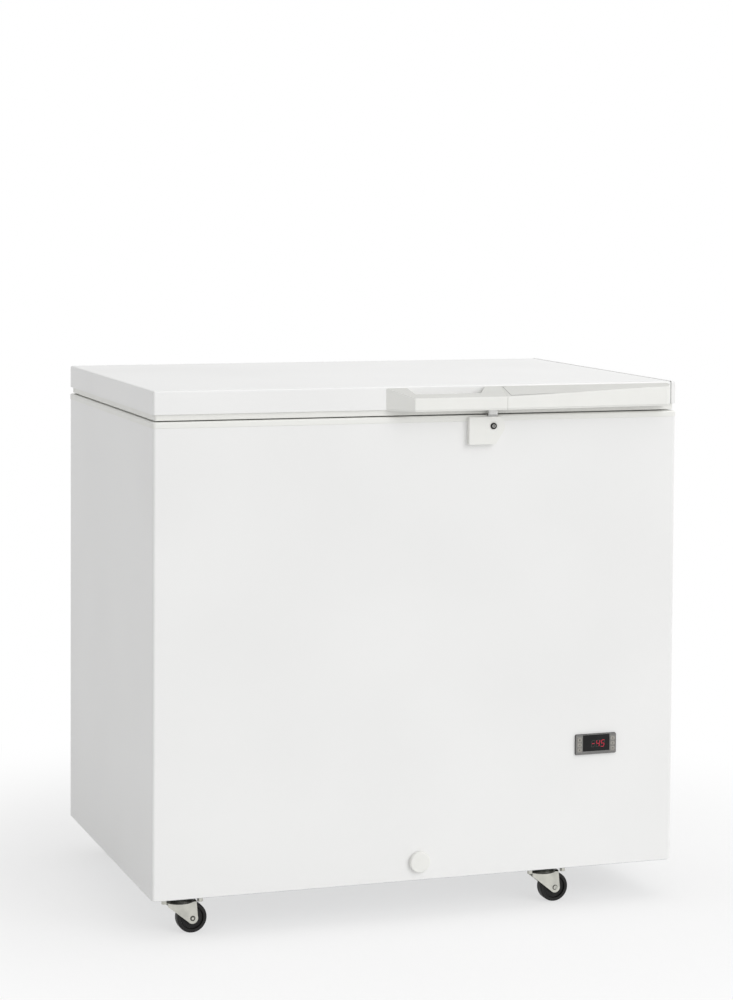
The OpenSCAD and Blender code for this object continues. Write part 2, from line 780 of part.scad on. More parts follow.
// Motor on three arms that are screwed to the shroud
motor_y = cond_y + cond_d + shroud_d + 12;
arm_reach = fan_d / 2 + fan_play + 9;
module fan_motor() {
    color([0.35, 0.36, 0.38]) translate([machine_mid, 0, fan_z]) difference() {
        union() {
            translate([0, motor_y, 0]) rotate([-90, 0, 0]) {
                cylinder(d = motor_d - 8, h = motor_l);
                translate([0, 0, 5]) cylinder(d = motor_d, h = motor_l - 10);
                cylinder(d = shaft_d + 10, h = motor_l + 4);
            }
            for (a = [45:90:315]) rotate([0, a, 0]) {
                translate([motor_d / 2 - 6, motor_y + 8, -5]) cube([arm_reach - motor_d / 2 + 6, 2.5, 10]);
                translate([arm_reach - 2.5, motor_y - 12, -5]) cube([2.5, 22.5, 10]);
                translate([arm_reach - 2.5, motor_y - 12, -5]) cube([10, 2, 10]);
            }
        }
        translate([0, motor_y - cut, 0]) rotate([-90, 0, 0])
            cylinder(d = shaft_d + 2 * fit, h = motor_l - 4 + cut);
    }
}

// Axial fan: hub, shaft and pitched blades
hub_r = 21;
module fan_blade() {
    color([0.3, 0.3, 0.32]) translate([machine_mid, fan_y, fan_z]) {
        rotate([-90, 0, 0]) {
            translate([0, 0, -9]) cylinder(r = hub_r, h = 18);
            cylinder(d = shaft_d, h = motor_y - fan_y + motor_l - 6);
        }
        for (i = [0:blade_n - 1]) rotate([0, 360 * i / blade_n, 0]) hull() {
            translate([hub_r - 3, 0, 0]) rotate([42, 0, 0]) cube([1, 1.6, 22], center = true);
            translate([fan_d / 2 - 16, 0, 5]) rotate([28, 0, 0]) cube([1, 1.6, 50], center = true);
            translate([fan_d / 2 - 3, 0, 7]) rotate([24, 0, 0]) cube([1, 1.6, 34], center = true);
        }
    }
}

// Filter drier, a copper can with necked ends, clipped to the bulkhead
drier_x = machine_x + bulkhead_t + drier_d / 2 + 6;
drier_y = pot_y - pot_r - 52;
drier_z = tray_z + 70;
module filter_drier() {
    r = drier_d / 2;
    neck = line_d / 2 + 1;
    color(copper) translate([drier_x, drier_y, drier_z]) {
        rotate_extrude() polygon([
            [0, 0], [neck, 0], [neck, 6], [r, 14], [r, drier_l - 14], [neck, drier_l - 6],
            [neck, drier_l], [0, drier_l]
        ]);
        translate([-drier_d / 2 - 6, -7, drier_l / 2 - 6]) cube([drier_d / 2 + 2, 14, 12]);
    }
}

// Lines between the compressor, the condenser, the drier and the evaporator
function stub(a, out) = [
    machine_mid + (pot_r + out) * cos(a), pot_y + (pot_r + out) * sin(a), stub_z - 20
];
module refrigerant_lines() {
    side_x = machine_mid - cond_w / 2 - 12;
    tube_end = machine_mid - cond_w / 2 - tube_out - gap;
    over_z = cond_z + cond_h + 12;
    top_z = cond_z + cond_row_pitch * (cond_rows - 0.5);
    behind_y = motor_y + motor_l + 10;
    end_z = machine_top - coil_tail - gap;
    suction_port = 290;
    discharge = [
        stub(250, 12.3), stub(250, 30), [machine_mid - 36, behind_y + 14, over_z],
        [side_x, behind_y, over_z],
        [side_x, cond_y + cond_col_pitch / 2, over_z],
        [side_x, cond_y + cond_col_pitch / 2, top_z],
        [tube_end, cond_y + cond_col_pitch / 2, top_z]
    ];
    liquid = [
        [tube_end, cond_y + cond_col_pitch * 1.5, top_z],
        [side_x, cond_y + cond_col_pitch * 1.5, top_z],
        [side_x, drier_y - 30, top_z],
        [drier_x, drier_y, top_z],
        [drier_x, drier_y, drier_z + drier_l + gap]
    ];
    capillary = [
        [drier_x, drier_y, drier_z - gap],
        [drier_x, drier_y, drier_z - 22],
        [drier_x, drier_y - 24, drier_z - 22],
        [machine_mid - 30, drier_y - 43, machine_top - 53],
        [return_x, -coil_d, machine_top - 60],
        [return_x, -coil_d, end_z]
    ];
    suction = [
        [return_x, 1.4 * coil_d, end_z],
        [return_x, 1.4 * coil_d, machine_top - 60],
        [machine_mid + pot_r * 0.34 + 10, pot_y - pot_r - 42, machine_top - 66],
        stub(suction_port, 36), stub(suction_port, 12.3)
    ];
    color(copper) for (p = [discharge, liquid, capillary, suction])
        tube(rounded_route(p, 6), line_d);
}

// Louvred panel in the right side, flush with the cabinet
module side_grille() {
    blades = floor((grille_h - 12) / grille_pitch);
    hole = [grille_w - 2 * grille_rim, grille_h - 2 * grille_rim];
    color([0.84, 0.84, 0.83]) translate([body_w / 2, grille_y, grille_z]) {
        difference() {
            union() {
                translate([-sheet_t - 1.5, -grille_w / 2 - grille_rim, -grille_h / 2 - grille_rim])
                    cube([1.5, grille_w + 2 * grille_rim, grille_h + 2 * grille_rim]);
                translate([-sheet_t - 1.5, -grille_w / 2 + gap, -grille_h / 2 + gap])
                    cube([sheet_t + 1.5, grille_w - 2 * gap, grille_h - 2 * gap]);
            }
            translate([-4 * cut, -hole[0] / 2, -hole[1] / 2]) cube([8 * cut, hole[0], hole[1]]);
        }
        intersection() {
            for (i = [0:blades - 1])
                translate([-7, 0, (i - (blades - 1) / 2) * grille_pitch])
                    rotate([0, grille_tilt, 0]) cube([18, hole[0] + 2, 1.5], center = true);
            translate([-14, -hole[0] / 2 - 1, -grille_h / 2]) cube([14, hole[0] + 2, grille_h]);
        }
        for (s = [-1, 0, 1])
            translate([-11, s * hole[0] / 2 - 1, -hole[1] / 2 - 1]) cube([9, 2, hole[1] + 2]);
    }
}

// Rear cover with two columns of hooded louvres
cover_t = 1.2;
cover_screw_d = 4;
gland_x = machine_mid - cover_w / 2 + 30;
gland_z = cab_z + cover_margin + 22;
gland_seat_d = 22;
module rear_cover() {
    louvre_w = (cover_w - 46) / 2;
    first_z = cover_z + cover_h / 2 - 24;
    color([0.8, 0.8, 0.8]) difference() {
        union() {
            translate([machine_mid - cover_w / 2, rear_y, cover_z - cover_h / 2])
                cube([cover_w, cover_t, cover_h]);
            for (s = [-1, 1], i = [0:louvre_n - 1])
                translate([machine_mid + s * (louvre_w / 2 + 6) - louvre_w / 2, rear_y + cover_t,
                           first_z - i * louvre_pitch])
                    rotate([90, 0, 90]) linear_extrude(louvre_w)
                        polygon([[0, 0], [louvre_out, -11], [louvre_out - 1.6, -11], [0, -2.6]]);
        }
        for (s = [-1, 1], i = [0:louvre_n - 1])
            translate([machine_mid + s * (louvre_w / 2 + 6) - louvre_w / 2 + 3, rear_y - cut,
                       first_z - i * louvre_pitch - 11])
                cube([louvre_w - 6, 2 * cut, 8]);
        translate([gland_x, rear_y - cut, gland_z])
            rotate([-90, 0, 0]) cylinder(d = gland_seat_d - 6 + 2 * fit, h = 4 * cut);
        at_cover_screws() cylinder(d = cover_screw_d + 0.6, h = 4 * cut, center = true);
    }
}
module at_cover_screws() {
    for (sx = [-1, 1], sz = [-1, 0, 1])
        translate([machine_mid + sx * (cover_w / 2 - 5), rear_y, cover_z + sz * (cover_h / 2 - 5)])
            rotate([-90, 0, 0]) children();
}

// Gland that leads the power cord through the rear cover
module cord_gland() {
    color(dark) translate([gland_x, rear_y, gland_z]) rotate([-90, 0, 0]) difference() {
        union() {
            translate([0, 0, cover_t]) cylinder(d = gland_seat_d, h = 4, $fn = 6);
            translate([0, 0, cover_t + 4]) cylinder(d1 = 17, d2 = 13, h = 9);
            translate([0, 0, -6]) cylinder(d = gland_seat_d - 6, h = 8);
            translate([0, 0, -6]) cylinder(d = gland_seat_d, h = 5, $fn = 6);
        }
        translate([0, 0, -2 * cut]) cylinder(d = gland_bore_d, h = 6 * cut);
    }
}

// Controller: bezel with its window and key holes
window_x = ctrl_x - bezel_w / 2 + window_left + window_w / 2;
window_rim = 0.8;
window_z = ctrl_abs_z + bezel_h / 2 - window_h / 2 - window_rim;
key_x = [
    ctrl_x - bezel_w / 2 + window_left / 2 + 0.3,
    (window_x + window_w / 2 + ctrl_x + bezel_w / 2) / 2 - 0.3
];
module bezel_window(play, depth) {
    translate([window_x, front_y, window_z])
        cube([window_w + 2 * play, depth, window_h + 2 * play], center = true);
}
module controller_bezel() {
    color([0.62, 0.63, 0.64]) difference() {
        translate([ctrl_x, front_y, ctrl_abs_z]) rotate([90, 0, 0])
            rounded_block(bezel_w, bezel_h, bezel_t, 2.5);
        bezel_window(0, 4 * bezel_t);
        for (x = key_x, r = [-1, 0, 1])
            translate([x, front_y, ctrl_abs_z + r * key_pitch])
                cube([key_w + 2 * gap, 4 * bezel_t, key_h + 2 * gap], center = true);
    }
}
module controller_lens() {
    color([0.08, 0.03, 0.04, 0.9]) intersection() {
        bezel_window(-fit, 4 * bezel_t);
        translate([ctrl_x - bezel_w, front_y - bezel_t + 0.6, cab_z])
            cube([2 * bezel_w, bezel_t - 0.6, machine_h]);
    }
}

// Case behind the panel, with two spring clips and its terminal block
module controller_case() {
    case_w = cutout_w - 2 * gap;
    case_hh = cutout_h - 2 * gap;
    color(dark) translate([ctrl_x, front_y, ctrl_abs_z]) {
        translate([-case_w / 2, 0, -case_hh / 2]) cube([case_w, case_l, case_hh]);
        for (s = [-1, 1])
            translate([s * (case_w / 2 + 3) - 3, sheet_t + gap, -7]) cube([6, 16, 14]);
        translate([-case_w / 2 + 6, case_l, -8]) cube([case_w - 12, 8, 16]);
    }
}

// One key of the controller
key_back = key_travel + gap;
module key(column, row) {
    color([0.55, 0.56, 0.57])
        translate([key_x[column], front_y - key_back, ctrl_abs_z + row * key_pitch])
            rotate([90, 0, 0]) rounded_block(key_w, key_h, bezel_t + 0.4 - key_back, 1.2);
}
module key_left_top() { key(0, 1); }
module key_left_middle() { key(0, 0); }
module key_left_bottom() { key(0, -1); }
module key_right_top() { key(1, 1); }
module key_right_middle() { key(1, 0); }
module key_right_bottom() { key(1, -1); }

// Lock housing on the front, open to the latch tongue at its top
lock_z = cab_top - lock_drop;
module lock_outline(inset) {
    intersection() {
        union() {
            polygon([
                [-lock_left + inset, -lock_bottom + inset], [4 - inset, -lock_bottom + inset],
                [lock_side_r * 0.96 - inset, -6], [0, lock_top - inset],
                [-lock_left + inset, lock_top - inset]
            ]);
            circle(r = lock_side_r - inset);
        }
        translate([-lock_left + inset, -lock_bottom + inset])
            square([lock_left + lock_side_r, lock_bottom + lock_top - 2 * inset]);
    }
}
tongue_back = skirt_proud + 0.8;
tongue_y = front_y - tongue_back;
strike_r = 1.8;
hook_wall = 2.4;
hook_r = lock_top - lock_t - 0.5 - hook_wall;
pin_up = hook_r - 0.6 - strike_r;
hook_back = tongue_back + tongue_t + gap;
pin_l = gap + hook_t + 0.2;
module lock_housing() {
    color(white) translate([lock_x, front_y, lock_z]) rotate([90, 0, 0]) difference() {
        linear_extrude(lock_out) lock_outline(0);
        translate([0, 0, -lock_t]) linear_extrude(lock_out) lock_outline(lock_t);
        translate([0, 0, lock_out - 1.4]) cylinder(r1 = barrel_d / 2, r2 = barrel_d / 2 + 8, h = 1.8);
        cylinder(d = barrel_d, h = 2 * lock_out);
        translate([-tongue_w / 2 - 1.5, 0, -cut])
            cube([tongue_w + 3, lock_top + cut, hook_back + pin_l + cut + gap]);
        translate([-body_w, skirt_z - gap - lock_z, -cut])
            cube([2 * body_w, skirt_h, cut + skirt_proud + gap]);
    }
}

// Black barrel that the key plug turns in
module lock_barrel() {
    color(dark) translate([lock_x, front_y, lock_z]) rotate([90, 0, 0]) difference() {
        translate([0, 0, lock_out - 3.6]) cylinder(d = barrel_d - 2 * fit, h = 4.4);
        cylinder(d = plug_d + 2 * fit, h = 2 * lock_out);
    }
}

// Key plug with its keyway, and the hook that turns with it
module lock_plug() {
    plug_z = hook_back + hook_t;
    keyway = plug_d - 1.8;
    color(steel) translate([lock_x, front_y, lock_z]) rotate([90, 0, 0]) {
        difference() {
            translate([0, 0, plug_z]) cylinder(d = plug_d, h = lock_out + 1 - plug_z);
            translate([-0.6, -keyway / 2, lock_out - 3]) cube([1.2, keyway, 2 * cut]);
        }
        translate([0, 0, hook_back]) {
            cylinder(d = 7, h = hook_t + 0.2);
            linear_extrude(hook_t) {
                polygon([
                    [0, 0], (hook_r + 1) * [cos(206), sin(206)],
                    (hook_r + 1) * [cos(215), sin(215)], 2 * [cos(300), sin(300)]
                ]);
                polygon(concat(
                    [for (a = [150:13:215]) (hook_r + hook_wall) * [cos(a), sin(a)]],
                    [for (a = [215:-13:150]) hook_r * [cos(a), sin(a)]]
                ));
            }
        }
    }
}

// Metal tongue under the handle, with the pin that the hook holds
tongue_seat = 8;
module latch_tongue() {
    color([0.85, 0.85, 0.84]) {
        translate([lock_x - tongue_w / 2, tongue_y - tongue_t, lock_z + pin_up - 4])
            cube([tongue_w, tongue_t, lid_z - handle_drop - lock_z - pin_up + 4 + tongue_seat]);
        translate([lock_x, tongue_y - tongue_t, lock_z + pin_up])
            rotate([90, 0, 0]) cylinder(r = strike_r, h = pin_l, $fn = 24);
        translate([lock_x - tongue_w / 2, tongue_y - 6.4, lock_z + lock_top + 3.5])
            cube([tongue_w, 6.4, lid_z - handle_drop - lock_z - lock_top - 3.5 - gap]);
    }
}

// Drain tube from the storage floor to the front
module drain_tube() {
    color([0.86, 0.87, 0.88]) difference() {
        union() {
            translate([drain_x, drain_y, drain_abs_z]) {
                cylinder(d = drain_d, h = floor_z - liner_t - drain_abs_z);
                sphere(d = drain_d);
                rotate([90, 0, 0]) cylinder(d = drain_d, h = drain_in + cap_t - 3);
            }
        }
        translate([drain_x, drain_y, drain_abs_z]) {
            cylinder(r = drain_bore_r, h = 2 * floor_t);
            sphere(r = drain_bore_r);
            rotate([90, 0, 0]) cylinder(r = drain_bore_r, h = 2 * drain_in);
        }
    }
}

// Cap over the drain outlet, plain with a chamfered rim
module drain_cap() {
    color(white) translate([drain_x, front_y - gap, drain_abs_z]) rotate([90, 0, 0]) difference() {
        union() {
            cylinder(d = cap_d, h = cap_t - 2 - gap, $fn = 72);
            translate([0, 0, cap_t - 2 - gap]) cylinder(d1 = cap_d, d2 = cap_d - 3, h = 2, $fn = 72);
        }
        translate([0, 0, -cut]) cylinder(d = drain_d + 2 * gap, h = cut + cap_t - 3);
    }
}

// Rubber plug in the floor drain, with a ring to pull it out
module drain_plug() {
    color(dark) translate([drain_x, drain_y, 0]) {
        translate([0, 0, floor_z - 9]) cylinder(r1 = drain_bore_r - 1, r2 = drain_bore_r - gap, h = 9 + gap);
        translate([0, 0, floor_z + gap]) cylinder(d = drain_d + 6, h = 4);
        translate([0, 0, floor_z + gap + 4 + 5]) rotate([90, 0, 0]) rotate_extrude()
            translate([6, 0]) circle(r = 1.6, $fn = 24);
    }
}

// Probe in its clip on the storage wall, over the step
probe_z = step_z + 60;
module temperature_probe() {
    color(steel) translate([store_w / 2 - 8, store_d / 4, probe_z]) {
        cylinder(d = 6, h = 44);
        translate([0, 0, 44]) sphere(d = 6);
        for (z = [8, 30]) translate([-4, -6, z]) cube([12, 12, 5]);
    }
}

// Hinges: pin, ears of the base on the cabinet and of the leaf on the lid
pivot_y = rear_y + pivot_out;
pivot_z = cab_top + pivot_up;
leaf_half = spring_room / 2 + ear_t;
base_half = leaf_half + gap + ear_t;
module at_hinges() {
    for (s = [-1, 1]) translate([s * hinge_x, 0, 0]) children();
}
module ear(x0, points) {
    translate([x0, 0, 0]) rotate([90, 0, 90]) linear_extrude(ear_t) {
        polygon(points);
        translate([pivot_y, pivot_z]) circle(r = ear_r);
    }
}
module pin_bore() {
    translate([-base_half - cut, pivot_y, pivot_z])
        rotate([0, 90, 0]) cylinder(d = pin_d + 2 * fit, h = 2 * (base_half + cut));
}
base_plate_h = 62;
base_plate_z = skirt_z - 2 - base_plate_h;
leaf_plate_z = lid_z + 4;
leaf_plate_h = lid_h - 9;
module hinge_bases() {
    face = rear_y + hinge_plate_t;
    points = [
        [face - 1, base_plate_z + 8], [face - 1, skirt_z - 2], [face + 1, skirt_z],
        [pivot_y - ear_r, pivot_z], [pivot_y + ear_r * 0.6, pivot_z - ear_r * 0.8]
    ];
    color(steel) at_hinges() difference() {
        union() {
            translate([-base_half, rear_y, base_plate_z])
                cube([2 * base_half, hinge_plate_t, base_plate_h]);
            ear(-base_half, points);
            ear(base_half - ear_t, points);
        }
        pin_bore();
        at_base_screws() cylinder(d = hinge_screw_d + 0.4, h = 8 * cut, center = true);
    }
}
module at_base_screws() {
    for (sx = [-1, 1], z = [14, base_plate_h - 14])
        translate([sx * 16, rear_y, base_plate_z + z]) rotate([-90, 0, 0]) children();
}
module hinge_leaves() {
    face = rear_y + hinge_plate_t;
    points = [
        [face - 1, leaf_plate_z], [face - 1, leaf_plate_z + leaf_plate_h - 6],
        [pivot_y + ear_r * 0.7, pivot_z + ear_r * 0.7], [pivot_y - ear_r, pivot_z]
    ];
    color(steel) at_hinges() difference() {
        union() {
            translate([-leaf_half, rear_y, leaf_plate_z])
                cube([2 * leaf_half, hinge_plate_t, leaf_plate_h]);
            ear(-leaf_half, points);
            ear(leaf_half - ear_t, points);
        }
        pin_bore();
        at_leaf_screws() cylinder(d = hinge_screw_d + 0.4, h = 8 * cut, center = true);
    }
}
module at_leaf_screws() {
    for (sx = [-1, 1], z = [9, leaf_plate_h - 8])
        translate([sx * 13, rear_y, leaf_plate_z + z]) rotate([-90, 0, 0]) children();
}
module hinge_pins() {
    color(steel) at_hinges() translate([0, pivot_y, pivot_z]) rotate([0, 90, 0]) {
        cylinder(d = pin_d, h = 2 * base_half + 2, center = true);
        for (s = [-1, 1]) translate([0, 0, s * (base_half + gap + 1)])
            cylinder(d = pin_d + 5, h = 2, center = true);
    }
}

// Torsion springs: each rests on its base plate and hooks towards the pin
module hinge_springs() {
    coil_mid = pin_d / 2 + 3.4;
    length = spring_room - 4 - wire_d;
    steps = 12;
    turns = [
        for (i = [0:spring_turns * steps])
            let (a = 360 * i / steps)
            [-length / 2 + length * i / (spring_turns * steps),
             pivot_y - coil_mid * cos(a), pivot_z - coil_mid * sin(a)]
    ];
    leg = [[-length / 2 - 0.4, rear_y + hinge_plate_t + wire_d / 2 + gap, skirt_z - 7],
           [-length / 2 - 0.2, pivot_y - coil_mid - 1.2, pivot_z - 7]];
    hook = [
        [length / 2 + 0.3, pivot_y - coil_mid + 0.6, pivot_z - 2.2],
        [length / 2 + 0.5, pivot_y - coil_mid + 2, pivot_z - 3.6]
    ];
    color([0.5, 0.5, 0.52]) at_hinges() tube(concat(leg, turns, hook), wire_d, 6);
}

// Lid: painted skin with a return flange under its edge
return_flange = 12;
module lid_skin() {
    color(white) translate([0, 0, lid_z]) difference() {
        rounded_lid(body_w, body_d, lid_h, corner_r - 1, lid_edge_r);
        translate([0, 0, sheet_t])
            rounded_lid(inner_w, inner_d, lid_h - 2 * sheet_t, corner_r - 1 - sheet_t,
                        lid_edge_r - sheet_t);
        translate([0, 0, -cut])
            rounded_block(body_w - 2 * return_flange, body_d - 2 * return_flange, 2 * cut, corner_r);
    }
}

// Inner panel of the lid, which reaches into the cabinet
panel_w = store_w - 2 * collar_lip_t - 2 * plug_play;
panel_d = store_d - 2 * collar_lip_t - 2 * plug_play;
panel_z = cab_top - plug_depth;
panel_r = liner_r - collar_lip_t;
panel_flange = 14;
module lid_liner() {
    color([0.92, 0.93, 0.93]) difference() {
        union() {
            translate([0, 0, panel_z]) rounded_block(panel_w, panel_d, lid_z - panel_z + sheet_t, panel_r);
            translate([0, 0, lid_z])
                rounded_block(panel_w + 2 * panel_flange, panel_d + 2 * panel_flange, sheet_t,
                              panel_r + panel_flange);
        }
        translate([0, 0, panel_z + lid_liner_t])
            rounded_block(panel_w - 2 * lid_liner_t, panel_d - 2 * lid_liner_t, 4 * plug_depth,
                          panel_r - lid_liner_t);
    }
}

// Foam that fills the lid
module lid_foam() {
    color([0.93, 0.87, 0.66]) {
        translate([0, 0, lid_z + sheet_t])
            rounded_lid(inner_w, inner_d, lid_h - 2 * sheet_t, corner_r - 1 - sheet_t,
                        lid_edge_r - sheet_t);
        difference() {
            translate([0, 0, lid_z])
                rounded_block(body_w - 2 * return_flange, body_d - 2 * return_flange,
                              sheet_t + 1, corner_r);
            translate([0, 0, lid_z - 1])
                rounded_block(panel_w + 2 * panel_flange, panel_d + 2 * panel_flange,
                              sheet_t + 1, panel_r + panel_flange);
        }
        translate([0, 0, panel_z + lid_liner_t])
            rounded_block(panel_w - 2 * lid_liner_t, panel_d - 2 * lid_liner_t,
                          lid_z - panel_z - lid_liner_t + sheet_t + 1, panel_r - lid_liner_t);
    }
}

// Frame under the skin, with the groove that holds the gasket
frame_w = body_w - 2 * frame_inset;
frame_d = body_d - 2 * frame_inset;
frame_r = 3;
groove_inset = gasket_inset + (gasket_w - dart_w) / 2;
groove_h = 4;
module gasket_ring(inset, wide, z0, h) {
    translate([0, 0, z0])
        rounded_ring(frame_w - 2 * inset, frame_d - 2 * inset, h, frame_r + 2, wide);
}
module lid_frame() {
    color([0.88, 0.88, 0.87]) difference() {
        translate([0, 0, lid_z - frame_h]) rounded_block(frame_w, frame_d, frame_h, frame_r);
        translate([0, 0, lid_z - 2 * frame_h])
            rounded_block(panel_w, panel_d, 4 * frame_h, panel_r);
        gasket_ring(groove_inset - 0.2, dart_w + 0.4, lid_z - frame_h - cut, groove_h + cut);
    }
}
module lid_gasket() {
    color([0.45, 0.45, 0.46]) {
        gasket_ring(gasket_inset, gasket_w, cab_top + gasket_play, lid_gap - gasket_play);
        gasket_ring(groove_inset, dart_w, lid_z - frame_h - 0.5, groove_h);
    }
}

// Handle: outline in plan, shared by the grip and the fascia
handle_z = lid_z - handle_drop;
handle_end = body_w / 2 - handle_right_gap;
handle_top = lid_top - handle_top_gap;
function handle_outline(inset) = let (
    out = handle_out - inset, out_right = handle_out_right - inset,
    r = handle_end_r, end = handle_end - inset
) concat(
    [[handle_left + inset, 0], [handle_corner + inset, -out], [handle_split, -out]],
    [for (s = [1:8]) let (q = s / 8)
        [handle_split + (end - r - handle_split) * q,
         -out + (out - out_right) * (3 * q * q - 2 * q * q * q)]],
    [for (a = [-75:15:0]) [end - r + r * cos(a), -out_right + r + r * sin(a)]],
    [[end, 0]]
);
module handle_body(inset, low, high_cut) {
    intersection() {
        translate([0, front_y, low]) linear_extrude(lid_top - low) polygon(handle_outline(inset));
        translate([-body_w, front_y, 0]) rotate([90, 0, 90]) linear_extrude(2 * body_w) polygon([
            [0, low - cut], [-2 * handle_out, low - cut],
            [-2 * handle_out, handle_top - 2 * bevel_drop - high_cut], [0, handle_top - high_cut]
        ]);
    }
}
module finger_gap() {
    depth = handle_out - bar_t;
    translate([0, front_y, handle_z - cut]) linear_extrude(lid_h + 2 * cut) polygon([
        [gap_left - gap_slant_left, depth], [gap_left, 0], [gap_left + gap_slant_left, -depth],
        [gap_right - gap_slant_right, -depth], [gap_right, 0], [gap_right, depth]
    ]);
}
module handle_moulding() {
    handle_body(0, handle_z + handle_lip, 0);
    intersection() {
        handle_body(handle_lip_inset, handle_z, 0);
        translate([-body_w, -body_d, handle_z]) cube([2 * body_w, 2 * body_d, handle_lip]);
    }
}
module right_of_split(play) {
    translate([handle_split + play, -body_d, 0]) cube([body_w, 2 * body_d, 2 * cabinet_h]);
}
module handle_grip() {
    color(white) difference() {
        handle_moulding();
        finger_gap();
        right_of_split(0);
        translate([lock_x - tongue_w / 2 - gap, tongue_y - tongue_t - gap, handle_z - cut])
            cube([tongue_w + 2 * gap, tongue_t + 2 * gap, tongue_seat + gap + cut]);
    }
}
module handle_fascia() {
    color(white) intersection() {
        difference() {
            handle_moulding();
            difference() {
                handle_body(fascia_t, handle_z + fascia_t, fascia_t);
                translate([-body_w, -body_d, 0])
                    cube([body_w + handle_split + fascia_t, 2 * body_d, 2 * cabinet_h]);
            }
        }
        right_of_split(0.2);
    }
}

// Pan-head screw, its head's underside at the origin and its shank below
module screw(d, shank) {
    cylinder(d1 = 2 * d, d2 = 1.5 * d, h = 0.6 * d, $fn = 24);
    translate([0, 0, -shank]) cylinder(d = d, h = shank, $fn = 24);
}
module lid_screws() {
    color(steel) at_hinges() at_leaf_screws()
        translate([0, 0, hinge_plate_t]) screw(hinge_screw_d, hinge_plate_t);
}
module cabinet_screws() {
    head_h = 4;
    color(steel) {
        at_hinges() at_base_screws() translate([0, 0, hinge_plate_t]) screw(hinge_screw_d, hinge_plate_t);
        at_cover_screws() translate([0, 0, cover_t]) screw(cover_screw_d, cover_t);
        at_caster_bolts() {
            translate([0, 0, caster_h - fork_t - head_h]) cylinder(d = 10, h = head_h, $fn = 6);
            translate([0, 0, caster_h - fork_t - 1]) cylinder(d = bolt_d, h = fork_t + pan_t + 1);
        }
    }
}

// Casters: fixed plate, upper race and swivel rivet
race_r = 21;
race_h = 3.5;
cup_h = 4.2;
race_z = caster_h - fork_t - race_h;
crown_z = race_z - gap - cup_h - fork_t;
module caster_plates() {
    color(steel) at_casters() {
        difference() {
            translate([0, 0, caster_h - fork_t])
                rounded_block(caster_plate_w, caster_plate_d, fork_t, 6);
            for (sx = [-1, 1], sy = [-1, 1])
                translate([sx * bolt_dx, sy * bolt_dy, 0])
                    cylinder(d = bolt_d + 2 * gap, h = 2 * caster_h);
        }
        translate([0, 0, race_z]) cylinder(r1 = race_r - 2, r2 = race_r, h = race_h);
        translate([0, 0, crown_z - gap - 2.5])
            cylinder(d = kingpin_d, h = race_z - crown_z + 3);
        translate([0, 0, crown_z - gap - 2.5])
            cylinder(d1 = kingpin_d + 3, d2 = kingpin_d + 6, h = 2.5);
    }
}

// Swivelling fork with its lower race and the axle rivet
leg_y = wheel_w / 2 + 0.6;
leg_top = crown_z + fork_t;
boss_r = 9;
axle_z = wheel_d / 2;
fork_front = trail + boss_r * 0.7;
module fork_shoulders() {
    arc = [for (a = [0:15:90]) [leg_y + fork_t * cos(a), crown_z + fork_t * sin(a)]];
    translate([-caster_h, 0, 0]) rotate([90, 0, 90]) linear_extrude(2 * caster_h)
        for (s = [0, 1]) mirror([s, 0]) polygon(concat([[-1, 0], [leg_y + fork_t, 0]], arc, [[-1, leg_top]]));
}
module fork_legs() {
    for (s = [-1, 1]) translate([0, s * (leg_y + fork_t / 2) + fork_t / 2, 0])
        rotate([90, 0, 0]) linear_extrude(fork_t) {
            polygon([
                [-race_r, leg_top], [-race_r, crown_z - fork_t * 2.3],
                [-boss_r * 1.25, axle_z + boss_r * 1.55],
                [trail - boss_r * 0.75, axle_z - boss_r * 0.66], [trail, axle_z],
                [trail + boss_r * 0.98, axle_z], [fork_front, leg_top]
            ]);
            translate([trail, axle_z]) circle(r = boss_r);
        }
}
module caster_fork() {
    color(steel) {
        difference() {
            union() {
                translate([0, 0, crown_z]) cylinder(r = race_r + 3, h = fork_t);
                translate([0, 0, leg_top]) cylinder(r1 = race_r + 3, r2 = race_r + 1, h = cup_h);
                intersection() {
                    fork_shoulders();
                    union() {
                        translate([0, -leg_y - fork_t, crown_z])
                            cube([fork_front, 2 * (leg_y + fork_t), fork_t]);
                        fork_legs();
                    }
                }
            }
            translate([0, 0, leg_top]) cylinder(r = race_r - 5, h = 4 * cut);
            cylinder(d = kingpin_d + 2 * gap, h = caster_h);
        }
        translate([trail, 0, axle_z]) rotate([90, 0, 0]) {
            cylinder(d = axle_d, h = 2 * (leg_y + fork_t), center = true);
            for (a = [0, 180]) rotate([a, 0, 0]) translate([0, 0, leg_y + fork_t]) difference() {
                cylinder(d1 = axle_d + 3, d2 = axle_d + 1, h = 1.6);
                translate([0, 0, 1]) cylinder(d = axle_d - 2, h = cut);
            }
        }
    }
}

// Wheel with a flat tread, recessed web and hub
module wheel() {
    r = wheel_d / 2;
    hub = axle_d / 2 + 4;
    half = wheel_w / 2;
    color(dark) translate([trail, 0, axle_z]) rotate([90, 0, 0]) rotate_extrude($fn = 72) polygon([
        [axle_d / 2 + fit, -half], [hub, -half], [hub, -half + 4], [r - 7, -half + 4],
        [r - 6, -half + 0.5], [r - 2, -half + 0.5], [r - 0.5, -half + 1.5], [r, -half + 3],
        [r, half - 3], [r - 0.5, half - 1.5], [r - 2, half - 0.5], [r - 6, half - 0.5],
        [r - 7, half - 4], [hub, half - 4], [hub, half], [axle_d / 2 + fit, half]
    ]);
}
module at_caster(column, row) {
    translate([caster_x[column], caster_y[row], 0]) children();
}
module caster_fork_front_left() { at_caster(0, 0) caster_fork(); }
module caster_fork_front_right() { at_caster(1, 0) caster_fork(); }
module caster_fork_rear_left() { at_caster(0, 1) caster_fork(); }
module caster_fork_rear_right() { at_caster(1, 1) caster_fork(); }
module wheel_front_left() { at_caster(0, 0) wheel(); }
module wheel_front_right() { at_caster(1, 0) wheel(); }
